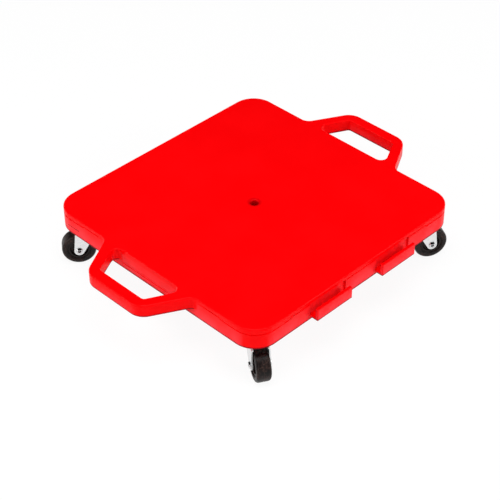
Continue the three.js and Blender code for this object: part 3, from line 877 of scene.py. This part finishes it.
def make_plate():
    low, high = PLATE_LOW_Z - OVERRUN, PLATE_TOP_Z + OVERRUN
    plate = moulded(
        rounded_square(PLATE_SIDE / 2, PLATE_CORNER, FILLET_STEPS),
        wall_profile(PLATE_LOW_Z, PLATE_TOP_Z, BROKEN_EDGE, BROKEN_EDGE, COARSE_STEPS),
    )
    holes = moulded_set(
        [circle(SCREW_HOLE_RADIUS, HOLE_STEPS, x, y) for x, y in screw_places()],
        wall_profile(low, high),
    )
    return joined(cut(plate, holes, pin(KINGPIN_HOLE_RADIUS, low, high)), make_race())


def make_race():
    """The upper race: a ring that hangs from the plate and holds the balls."""
    roof_z = BALL_Z + BALL_RADIUS + SEAT_GAP
    seat_z = PLATE_LOW_Z + RACE_SEAT_DEPTH
    return turned(turned_profile([
        (KINGPIN_HOLE_RADIUS, roof_z, PLAIN_EDGE), (RACE_INNER_RADIUS, roof_z, ROUND_EDGE),
        (RACE_INNER_RADIUS, RACE_LOW_Z, BROKEN_EDGE), (RACE_OUTER_RADIUS, RACE_LOW_Z, BLUNT_EDGE),
        (RACE_OUTER_RADIUS, seat_z, RACE_BEND), (RACE_SEAT_RADIUS, seat_z, 0),
        (RACE_SEAT_RADIUS, PLATE_TOP_Z, 0), (KINGPIN_HOLE_RADIUS, PLATE_TOP_Z, 0),
    ]))


def make_screw():
    head_top = PLATE_LOW_Z - SEAT_GAP
    head_low, tip = head_top - SCREW_HEAD_HEIGHT, head_top + SCREW_LENGTH
    screw = turned([
        (0, head_low), *turned_profile([
            (SCREW_CAP_RADIUS, head_low, 0), (SCREW_FACE_RADIUS, head_low, BLUNT_EDGE),
            (SCREW_HEAD_RADIUS, head_low + SCREW_FACE_DROP, SOFT_EDGE),
            (SCREW_HEAD_RADIUS, head_top, FINE_EDGE), (SCREW_RADIUS, head_top, CRISP_EDGE),
            (SCREW_RADIUS, tip - 2 * SCREW_RADIUS, 0), (SCREW_POINT, tip - SCREW_POINT, 0),
        ]), (0, tip),
    ], SMALL_STEPS)
    return cut(screw, make_cross(head_low))


def make_cross(face_z):
    """A tapered cross recess, driven up into a screw's face."""
    arm, half, edge = CROSS_ARM, CROSS_HALF, CRISP_EDGE
    outline = rounded_outline([
        (arm, -half, edge), (arm, half, edge), (half, half, 0),
        (half, arm, edge), (-half, arm, edge), (-half, half, 0),
        (-arm, half, edge), (-arm, -half, edge), (-half, -half, 0),
        (-half, -arm, edge), (half, -arm, edge), (half, -half, 0),
    ], TINY_STEPS)
    return moulded(outline, [
        (-CROSS_FLARE, face_z - CROSS_START), (0, face_z), (CROSS_TAPER, face_z + CROSS_DEPTH),
    ])


def make_washer():
    top = DOME_TOP_Z - SHEET - SEAT_GAP
    low = top - SHEET
    return turned(turned_profile([
        (KINGPIN_HOLE_RADIUS, low, FINE_EDGE), (WASHER_RADIUS, low, PLAIN_EDGE),
        (WASHER_RADIUS, top, PLAIN_EDGE), (KINGPIN_HOLE_RADIUS, top, FINE_EDGE),
    ]))


def make_kingpin():
    """A headed pin, its upper end riveted over above the plate."""
    head_top = DOME_TOP_Z - 2 * SHEET - 2 * SEAT_GAP
    head_low = head_top - KINGPIN_HEAD_HEIGHT
    end_low = PLATE_TOP_Z + SEAT_GAP
    end_top = end_low + KINGPIN_END_HEIGHT
    return turned([
        (0, head_low), *turned_profile([
            (KINGPIN_FACE_RADIUS, head_low, 0),
            (KINGPIN_HEAD_RADIUS, head_low + KINGPIN_HEAD_CROWN, ROUND_EDGE),
            (KINGPIN_HEAD_RADIUS, head_top, FINE_EDGE), (KINGPIN_RADIUS, head_top, CRISP_EDGE),
            (KINGPIN_RADIUS, end_low, CRISP_EDGE), (KINGPIN_END_RADIUS, end_low, FINE_EDGE),
            (KINGPIN_FACE_RADIUS, end_top, SOFT_EDGE), (CAP_RADIUS, end_top, 0),
        ]), (0, end_top),
    ], PIN_STEPS)


def make_ball_ring():
    inner, outer = RACE_PITCH_RADIUS - CAGE_HALF_WIDTH, RACE_PITCH_RADIUS + CAGE_HALF_WIDTH
    low, high = BALL_Z - CAGE_HALF_HEIGHT, BALL_Z + CAGE_HALF_HEIGHT
    cage = turned(turned_profile([
        (inner, low, CRISP_EDGE), (outer, low, CRISP_EDGE),
        (outer, high, CRISP_EDGE), (inner, high, CRISP_EDGE),
    ], TINY_STEPS))
    bm = bmesh.new()
    for point, _ in circle(RACE_PITCH_RADIUS, BALL_COUNT):
        bmesh.ops.create_uvsphere(
            bm, u_segments=BALL_STEPS, v_segments=BALL_RINGS, radius=BALL_RADIUS,
            matrix=Matrix.Translation((*point, BALL_Z)),
        )
    return joined(cage, finish_mesh(bm))


def leg_outline():
    """The fork's side outline about the axle. Both edges of a leg are tangents of its round end."""
    top, lip = CROWN_TOP_Z - AXLE_Z, CROWN_LOW_Z - AXLE_Z - CROWN_LIP
    end, nose = -LEG_END_RADIUS, -TRAIL - CROWN_NOSE

    def leading(z):
        return -(LEG_END_RADIUS + z * math.sin(LEG_LEADING_LEAN)) / math.cos(LEG_LEADING_LEAN)

    def trailing(z):
        return (LEG_END_RADIUS - z * math.sin(LEG_TRAILING_LEAN)) / math.cos(LEG_TRAILING_LEAN)

    return rounded_outline([
        (trailing(top), top, SOFT_EDGE), (nose, top, CROWN_NOSE_ROUND), (nose, lip, EASED_EDGE),
        (leading(lip), lip, LEG_ROOT_ROUND), (leading(end), end, LEG_END_RADIUS),
        (trailing(end), end, LEG_END_RADIUS),
    ], LONG_FILLET_STEPS)


def fork_section():
    """The bent strip that the legs and the crown are cut from, as (across, up)."""
    low, top, inner = -LEG_END_RADIUS - OVERRUN, CROWN_TOP_Z - AXLE_Z, CROWN_LOW_Z - AXLE_Z
    inner_bend = STRIP_BEND - SHEET
    return rounded_outline([
        (-LEG_OUTER, low, 0), (-LEG_INNER, low, 0), (-LEG_INNER, inner, inner_bend),
        (LEG_INNER, inner, inner_bend), (LEG_INNER, low, 0), (LEG_OUTER, low, 0),
        (LEG_OUTER, top, STRIP_BEND), (-LEG_OUTER, top, STRIP_BEND),
    ])


def make_crown_cut():
    """The space over the wheel where the crown is cut back between the legs."""
    half, far = LEG_INNER - CROWN_CUT_MARGIN, 3 * TRAIL
    return moulded(rounded_outline([
        (CROWN_CUT, -half, CROWN_CUT_CORNER), (far, -half, 0), (far, half, 0),
        (CROWN_CUT, half, CROWN_CUT_CORNER),
    ]), wall_profile(CROWN_LOW_Z - OVERRUN, CROWN_TOP_Z + OVERRUN))


def make_dome():
    """The dish in the crown that the balls run on."""
    low, step = CROWN_LOW_Z + DOME_FOOT_RISE, CROWN_TOP_Z + DOME_STEP
    return turned([(0, low), *turned_profile([
        (CAP_RADIUS, low, 0), (DOME_FOOT_RADIUS, low, SOFT_EDGE),
        (DOME_FOOT_RADIUS, step, SOFT_EDGE), (DOME_TOP_RADIUS, DOME_TOP_Z, DOME_SHOULDER),
        (CAP_RADIUS, DOME_TOP_Z, 0),
    ], BEND_STEPS), (0, DOME_TOP_Z)])


def make_fork():
    front = Matrix(((0, 0, 1, 0), (1, 0, 0, 0), (0, 1, 0, AXLE_Z), (0, 0, 0, 1)))
    reach, length = 2 * LEG_OUTER, 3 * TRAIL
    outline = moved(moulded(leg_outline(), wall_profile(-reach, reach)), LAID)
    strip = moved(moulded(fork_section(), wall_profile(-length, length)), front)
    fork = cut(kept_inside(strip, outline), make_crown_cut())
    low = CROWN_LOW_Z - OVERRUN
    fork = cut(
        joined(fork, make_dome()), pin(DOME_BORE_RADIUS, low, DOME_TOP_Z - SHEET),
        pin(KINGPIN_HOLE_RADIUS, low, DOME_TOP_Z + OVERRUN),
        moved(pin(AXLE_HOLE_RADIUS, -reach, reach, SMALL_STEPS), LAID),
    )
    return eased(fork, FINE_EDGE, TINY_STEPS)


# Wheel pieces, drawn about the Z axis with the wheel's middle at z = 0, then laid along Y


def make_tyre():
    step_z = WHEEL_HALF - TYRE_STEP_DEPTH
    return moved(turned(turned_profile(both_ends([
        (WHEEL_RADIUS - PARTING_DEPTH, PARTING_HALF, PLAIN_EDGE),
        (WHEEL_RADIUS, PARTING_EDGE_HALF, PLAIN_EDGE), (WHEEL_RADIUS, WHEEL_HALF, TYRE_SHOULDER),
        (TYRE_STEP_RADIUS, WHEEL_HALF, BROKEN_EDGE), (TYRE_STEP_FOOT_RADIUS, step_z, PLAIN_EDGE),
        (TYRE_BORE_RADIUS, step_z, CRISP_EDGE),
    ]), TYRE_EDGE_STEPS), TYRE_STEPS), LAID)


def make_core():
    """Rim, thin web and hub in one turned piece."""
    return moved(turned(turned_profile(both_ends([
        (HUB_BORE_RADIUS, HUB_HALF, PLAIN_EDGE), (HUB_RADIUS, HUB_HALF, EASED_EDGE),
        (WEB_INNER_RADIUS, WEB_HALF, WEB_INNER_BEND), (WEB_OUTER_RADIUS, WEB_HALF, WEB_OUTER_BEND),
        (CORE_RIM_RADIUS, CORE_HALF, BROKEN_EDGE), (CORE_RADIUS, CORE_HALF, FINE_EDGE),
    ]), BEND_STEPS)), LAID)


def make_bush():
    half = LEG_INNER - SEAT_GAP
    return moved(turned(turned_profile([
        (BUSH_BORE_RADIUS, -half, HAIR_EDGE), (BUSH_RADIUS, -half, BUSH_EDGE),
        (BUSH_RADIUS, half, BUSH_EDGE), (BUSH_BORE_RADIUS, half, HAIR_EDGE),
    ]), PIN_STEPS), LAID)


def make_axle_rivet():
    """A tubular rivet, flared over at both ends."""
    flare = LEG_OUTER + SEAT_GAP
    end = flare + RIVET_FLARE
    bore = end - RIVET_BORE_DEPTH
    rivet = turned([(0, bore), *turned_profile(both_ends([
        (RIVET_CAP_RADIUS, bore, 0), (RIVET_BORE_RADIUS, bore, PLAIN_EDGE),
        (RIVET_BORE_RADIUS, end, RIVET_MOUTH_ROUND), (RIVET_FACE_RADIUS, end, BLUNT_EDGE),
        (RIVET_FLARE_RADIUS, flare, FINE_EDGE), (RIVET_RADIUS, flare, HAIR_EDGE),
    ])), (0, -bore)], PIN_STEPS)
    # Painted shade deep in the bore and a painted shadow over the top of each flared end
    mark_painted_shade(rivet, rivet_painted_shade)
    return moved(rivet, LAID)


def rivet_painted_shade(face):
    """Painted shade deep inside a rivet's bore, and a painted shadow on top of its flared ends."""
    middle = face.center
    radius = math.hypot(middle.x, middle.y)
    deep = abs(middle.z) < LEG_OUTER - RIVET_BORE_SHADE_DEPTH
    if radius < RIVET_BORE_SHADE_RADIUS and deep:
        return RIVET_BORE_SHADE
    on_top = middle.y > RIVET_FACE_SHADE_RISE * radius
    return 1.0 if radius > RIVET_FACE_SHADE_RADIUS and on_top else 0.0


# Finishes


class Value:
    """What one socket of a node gives. A number can be used in plain arithmetic."""

    def __init__(self, nodes, socket):
        self.nodes = nodes
        self.socket = socket

    def maths(self, operation, first, second):
        return self.nodes.add("ShaderNodeMath", {"operation": operation}, {0: first, 1: second})

    def __add__(self, other):
        return self.maths("ADD", self, other)

    def __sub__(self, other):
        return self.maths("SUBTRACT", self, other)

    def __rsub__(self, other):
        return self.maths("SUBTRACT", other, self)

    def __mul__(self, other):
        return self.maths("MULTIPLY", self, other)

    __radd__ = __add__
    __rmul__ = __mul__

    def at_least(self, other):
        return self.maths("MAXIMUM", self, other)

    def size(self):
        return self.maths("ABSOLUTE", self, 0)

    def between(self, low, high):
        """0 below low, 1 above high, with a soft passage between them."""
        return self.nodes.add(
            "ShaderNodeMapRange", {"interpolation_type": "SMOOTHSTEP"},
            {"Value": self, "From Min": low, "From Max": high},
        )


class Nodes:
    """A tree of nodes, and the values that are made in it."""

    def __init__(self, tree):
        self.tree = tree

    def add(self, kind, settings=None, sockets=None, output=0):
        """A node of a type, with its settings made first and then its socket values or links."""
        node = self.tree.nodes.new(kind)
        for name, setting in (settings or {}).items():
            setattr(node, name, setting)
        for name, value in (sockets or {}).items():
            if isinstance(value, Value):
                self.tree.links.new(value.socket, node.inputs[name])
            else:
                node.inputs[name].default_value = value
        return Value(self, node.outputs[output])

    def lead(self, value, node, socket):
        """Links a value to a node that the tree has from the start."""
        self.tree.links.new(value.socket, self.tree.nodes[node].inputs[socket])

    def part_of(self, vector, axis):
        """How far a vector goes along X, Y or Z."""
        return self.add("ShaderNodeSeparateXYZ", sockets={0: vector}, output=axis)

    def place(self):
        return self.add("ShaderNodeTexCoord", output="Object")

    def along(self, axis):
        return self.part_of(self.place(), axis)

    def normal(self, axis):
        return self.part_of(self.add("ShaderNodeNewGeometry", output="Normal"), axis)

    # The painted shade that the faces carry, from 0 to 1
    def painted_shade(self):
        return self.add("ShaderNodeAttribute", {"attribute_name": "painted_shade"}, output="Fac")

    def noise(self, size, detail=2.0, roughness=0.5, stretch=(1, 1, 1)):
        """Noise with features of a given size in millimetres."""
        spot = self.add(
            "ShaderNodeVectorMath", {"operation": "MULTIPLY"}, {0: self.place(), 1: stretch}
        )
        return self.add("ShaderNodeTexNoise", sockets={
            "Vector": spot, "Scale": 1 / (size * MM), "Detail": detail, "Roughness": roughness,
        })

    def mix(self, share, first, second):
        """Two colours mixed, each either a value or a colour as it looks on a screen."""
        first, second = [c if isinstance(c, Value) else linear(c) for c in (first, second)]
        return self.add(
            "ShaderNodeMix", {"data_type": "RGBA"},
            {MIX_SHARE: share, MIX_FIRST: first, MIX_SECOND: second}, MIX_RESULT,
        )


class Finish(Nodes):
    """A material made of nodes round one Principled shader."""

    def __init__(self, name, **constants):
        self.material = bpy.data.materials.new(name)
        self.material.use_nodes = True
        super().__init__(self.material.node_tree)
        shader = self.tree.nodes["Principled BSDF"]
        for socket, value in constants.items():
            shader.inputs[socket.replace("_", " ")].default_value = value

    def feed(self, **values):
        for socket, value in values.items():
            self.lead(value, "Principled BSDF", socket.replace("_", " "))

    def bump(self, height, depth, strength):
        """Relief of a given depth in millimetres."""
        self.feed(Normal=self.add(
            "ShaderNodeBump",
            sockets={"Height": height, "Distance": depth * MM, "Strength": strength},
        ))


def linear(screen_colour):
    """A colour given as it looks on a screen, turned into the one that a shader takes."""
    shares = [level / 255 for level in screen_colour]
    return (*[
        share / 12.92 if share <= 0.04045 else ((share + 0.055) / 1.055) ** 2.4
        for share in shares
    ], 1.0)


def moulded_red():
    """Red board plastic: fine grain, uneven gloss, faint scuffs on top, a painted floor reflection
    low on the skirt and painted shade at the feet, rope hole and witness line.
    """
    red = Finish("moulded_red", Specular_IOR_Level=RED_MIRROR)
    cloud = red.noise(size=70, detail=3)
    grain = red.noise(size=0.55)
    fine = red.noise(size=0.16, detail=1)
    scratches = red.noise(size=2.4, detail=4, roughness=0.7, stretch=(1, 6, 1))
    scuffs = scratches.between(0.62, 0.72) * red.normal(Z).between(*TOP_FACE)
    shade = red.mix(cloud.between(0.3, 0.7), RED_DEEP, RED_BRIGHT)
    shade = red.mix(scuffs * SCUFFS, shade, RED_SCUFFED)
    # Painted reflection of the pale floor on the lower skirt
    shade = red.mix(skirt_painted_sheen(red), shade, RED_PAINTED_SHEEN)
    # Painted shade along the feet of the skirt, loops and hooks
    shade = red.mix(foot_painted_shade(red), shade, RED_FOOT_SHADE)
    # Painted shade round the rope hole
    shade = red.mix(hole_painted_shade(red), shade, RED_PAINTED_SHADE)
    # Painted shade in the witness groove
    shade = red.mix(red.painted_shade(), shade, RED_PAINTED_SHADE)
    red.feed(Base_Color=shade, Roughness=0.26 + cloud * 0.06 + grain * 0.05 + scuffs * 0.06)
    red.bump(grain * 0.7 + fine * 0.3, depth=0.03, strength=0.5)
    return red.material


def above(value, level, fade):
    """0 below and 1 above a level, changing over the two distances of a fade past it, in mm."""
    return value.between((level + fade[0]) * MM, (level + fade[1]) * MM)


def skirt_painted_sheen(red):
    """How far the flat walls get a painted reflection of the pale floor below the groove, paler most
    of all near the floor.
    """
    height = red.along(Z)
    below_rim = 1 - above(height, SKIRT_LOW_Z, PAINTED_SHEEN_END)
    near_foot = 1 - above(height, SKIRT_LOW_Z, PAINTED_SHEEN_FADE) * PAINTED_SHEEN_FADE_SHARE
    flat = red.normal(X).size().at_least(red.normal(Y).size()).between(*FLAT_WALL)
    blotches = red.noise(size=26).between(0.3, 0.62)
    speckle = red.noise(size=3.5, detail=3, roughness=0.6)
    patches = 0.5 + blotches * (0.3 + speckle * 0.5)
    return below_rim * near_foot * flat * patches * PAINTED_SHEEN


def foot_painted_shade(red):
    """A thin line of painted shade along the bottom edges of the skirt, the hand loops and the
    hooks.
    """
    height = red.along(Z)

    def at_foot(level):
        return 1 - above(height, level, FOOT_SHADE_FADE)

    past_front = (DECK_CENTRE_Y - DECK_HALF) * MM - red.along(Y)
    on_loop = above(red.along(X).size(), DECK_HALF, FOOT_SHADE_START)
    on_hook = above(past_front, 0, FOOT_SHADE_START)
    loop = at_foot(DECK_TOP_Z - LOOP_THICKNESS) * on_loop
    hook = at_foot(DECK_TOP_Z - HOOK_TOP_DROP - HOOK_HEIGHT) * on_hook
    upright = 1 - red.normal(Z).size().between(*LEVEL_FACE)
    return at_foot(SKIRT_LOW_Z).at_least(loop).at_least(hook) * upright * FOOT_SHADE


def hole_painted_shade(red):
    """Painted shade inside the rope hole and softly round it."""
    across = red.add(
        "ShaderNodeVectorMath", {"operation": "MULTIPLY_ADD"},
        {0: red.place(), 1: (1, 1, 0), 2: (0, -DECK_CENTRE_Y * MM, 0)},
    )
    reach = red.add("ShaderNodeVectorMath", {"operation": "LENGTH"}, {0: across}, output=1)
    return (1 - above(reach, ROPE_HOLE_RADIUS, HOLE_SHADE_FADE)) * HOLE_SHADE


def tyre_rubber():
    """Near-black wheel rubber, with worn and dusty patches."""
    rubber = Finish("tyre_rubber", Specular_IOR_Level=RUBBER_MIRROR)
    cloud = rubber.noise(size=9, detail=3)
    grain = rubber.noise(size=0.35)
    specks = rubber.noise(size=2.6, detail=3, roughness=0.65)
    dust = specks.between(0.46, 0.72) * cloud.between(0.3, 0.6)
    shade = rubber.mix(cloud.between(0.35, 0.75), RUBBER_BLACK, RUBBER_WORN)
    shade = rubber.mix(dust * TYRE_DUST, shade, RUBBER_DUSTY)
    rubber.feed(Base_Color=shade, Roughness=0.22 + cloud * 0.34 + dust * 0.2)
    rubber.bump(grain, depth=0.04, strength=0.5)
    return rubber.material


def core_plastic():
    """Black moulded plastic of the wheel cores."""
    plastic = Finish("core_plastic", Specular_IOR_Level=CORE_MIRROR)
    cloud = plastic.noise(size=6)
    grain = plastic.noise(size=0.3)
    shade = plastic.mix(cloud, CORE_BLACK, CORE_WORN)
    plastic.feed(Base_Color=shade, Roughness=0.36 + cloud * 0.16)
    plastic.bump(grain, depth=0.03, strength=0.5)
    return plastic.material


def zinc_sheet():
    """Bright zinc-plated pressed steel, with a soft mottle and the faint lines of rolled sheet."""
    zinc = Finish("zinc_sheet", Metallic=1.0)
    mottle = zinc.noise(size=2.2, detail=3, roughness=0.6)
    lines = zinc.noise(size=0.4, roughness=0.6, stretch=(0.12, 1, 1))
    shade = zinc.mix(mottle.between(0.35, 0.7), ZINC_DULL, ZINC_BRIGHT)
    zinc.feed(Base_Color=shade, Roughness=0.26 + mottle * 0.12 + lines * 0.08)
    zinc.bump(lines * 0.6 + mottle * 0.4, depth=0.02, strength=0.4)
    return zinc.material


def bright_steel():
    """Turned or headed steel, brighter than the sheet, with a fine mottle and painted shade in the
    rivets' bores and over their flared ends.
    """
    steel = Finish("bright_steel", Metallic=1.0)
    mottle = steel.noise(size=1.4, detail=3, roughness=0.6)
    # Painted shade on the rivets, darker and rougher
    painted_shade = steel.painted_shade()
    shade = steel.mix(mottle, STEEL_DULL, STEEL_BRIGHT)
    shade = steel.mix(painted_shade, shade, STEEL_PAINTED_SHADE)
    steel.feed(Base_Color=shade, Roughness=0.2 + mottle * 0.16 + painted_shade * 0.4)
    steel.bump(mottle, depth=0.015, strength=0.4)
    return steel.material


def ball_steel():
    """Hard polished steel of the swivel balls, with a film of grease."""
    steel = Finish("ball_steel", Metallic=1.0)
    film = steel.noise(size=1.8)
    shade = steel.mix(film, BALL_BRIGHT, BALL_GREASED)
    steel.feed(Base_Color=shade, Roughness=0.1 + film * 0.22)
    steel.bump(film, depth=0.01, strength=0.3)
    return steel.material


# Putting the pieces in place


def settle_piece(shape, name, finish, body, node):
    """Gives a drawn shape its name and finish, and hands it over in place of its node."""
    piece = softened(shape)
    piece.name = piece.data.name = name
    piece.data.materials.clear()
    piece.data.materials.append(finish)
    piece.data.transform(Matrix.Scale(MM, 4))
    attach(piece, body)
    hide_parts(node)


def build_deck():
    settle_piece(make_deck(), "board_deck", moulded_red(), "deck", "deck")


def caster_shapes():
    """One caster's shapes by what carries them, each as (name, shape, finish, slot)."""
    steel, zinc = bright_steel(), zinc_sheet()
    screw = make_screw()
    screws = [
        (f"plate_screw_{i + 1}", copied(screw, Matrix.Translation((x, y, 0))), steel, "bright_steel")
        for i, (x, y) in enumerate(screw_places())
    ]
    bpy.data.objects.remove(screw)
    return {
        "deck": [
            ("caster_plate", make_plate(), zinc, "zinc_plate"),
            ("kingpin", make_kingpin(), steel, "bright_steel"),
            ("thrust_washer", make_washer(), steel, "bright_steel"),
            ("ball_ring", make_ball_ring(), ball_steel(), "ball_steel"),
            *screws,
        ],
        "fork": [
            ("fork", make_fork(), zinc, "zinc_plate"),
            ("axle_rivet", make_axle_rivet(), steel, "bright_steel"),
            ("axle_bush", make_bush(), steel, "bright_steel"),
        ],
        "wheel": [
            ("wheel_core", make_core(), core_plastic(), "black_plastic"),
            ("tyre", make_tyre(), tyre_rubber(), "black_rubber"),
        ],
    }


def build_casters():
    shapes = caster_shapes()
    for corner, (side, end, trails_at) in CORNERS.items():
        at = Matrix.Translation((side * CASTER_OFFSET, DECK_CENTRE_Y + end * CASTER_OFFSET, 0))
        trailing = at @ Matrix.Rotation(math.radians(trails_at), 4, "Z")
        for carrier, group in shapes.items():
            place, body = (at, carrier) if carrier == "deck" else (trailing, f"{carrier}_{corner}")
            for name, shape, finish, slot in group:
                settle_piece(
                    copied(shape, place), f"{name}_of_{corner}", finish, body,
                    f"{name}_{corner}",
                )
    for group in shapes.values():
        for _, shape, _, _ in group:
            bpy.data.objects.remove(shape)


# Studio


def floor_paint():
    """Plain pale paint that keeps shadows, and looks white to the camera and in reflections."""
    paint = bpy.data.materials.new("studio_floor")
    paint.use_nodes = True
    nodes = Nodes(paint.node_tree)
    nodes.tree.nodes.remove(nodes.tree.nodes["Principled BSDF"])
    rays = [
        nodes.add("ShaderNodeLightPath", output=f"Is {kind} Ray")
        for kind in ("Camera", "Glossy", "Transmission")
    ]
    seen = rays[0].at_least(rays[1]).at_least(rays[2])
    pale = nodes.add("ShaderNodeBsdfDiffuse", sockets={"Color": FLOOR_PAINT})
    glow = nodes.add("ShaderNodeEmission", sockets={"Strength": FLOOR_GLOW})
    both = nodes.add("ShaderNodeMixShader", sockets={0: seen * FLOOR_GLOW_SHARE, 1: pale, 2: glow})
    nodes.lead(both, "Material Output", "Surface")
    return paint


def build_floor():
    bm = bmesh.new()
    bmesh.ops.create_circle(bm, cap_ends=True, segments=FLOOR_STEPS, radius=FLOOR_RADIUS)
    floor = finish_mesh(bm, "studio_floor")
    floor.data.materials.append(floor_paint())


def build_world():
    """A pale band round the horizon under a dimmer ceiling, as in a studio."""
    world = bpy.data.worlds.new("studio")
    bpy.context.scene.world = world
    world.use_nodes = True
    nodes = Nodes(world.node_tree)
    height = nodes.part_of(nodes.add("ShaderNodeTexCoord", output="Generated"), Z)
    nodes.lead(1 - height.between(0, HORIZON_HEIGHT) * CEILING_DIMMING, "Background", "Strength")
    nodes.tree.nodes["Background"].inputs["Color"].default_value = WORLD_COLOUR


def build_lamps():
    for name, (place, aim, width, power) in LAMPS.items():
        lamp = bpy.data.lights.new(name, "AREA")
        lamp.shape = "SQUARE"
        lamp.size = width
        lamp.energy = power
        holder = in_scene(name, lamp)
        holder.location = place
        holder.rotation_euler = (Vector(aim) - Vector(place)).to_track_quat("-Z", "Y").to_euler()


def build_camera():
    lens = bpy.data.cameras.new("camera")
    lens.sensor_width = CAMERA_SENSOR
    lens.lens = CAMERA_LENS
    lens.clip_start, lens.clip_end = CAMERA_CLIP
    turn = Matrix((CAMERA_RIGHT, CAMERA_UP, CAMERA_BACK)).transposed().to_4x4()
    camera = in_scene("camera", lens)
    camera.matrix_world = Matrix.Translation(CAMERA_PLACE) @ turn
    bpy.context.scene.camera = camera


build_camera()
build_deck()
build_casters()
build_floor()
build_world()
build_lamps()
bpy.context.scene.view_settings.view_transform = "Standard"
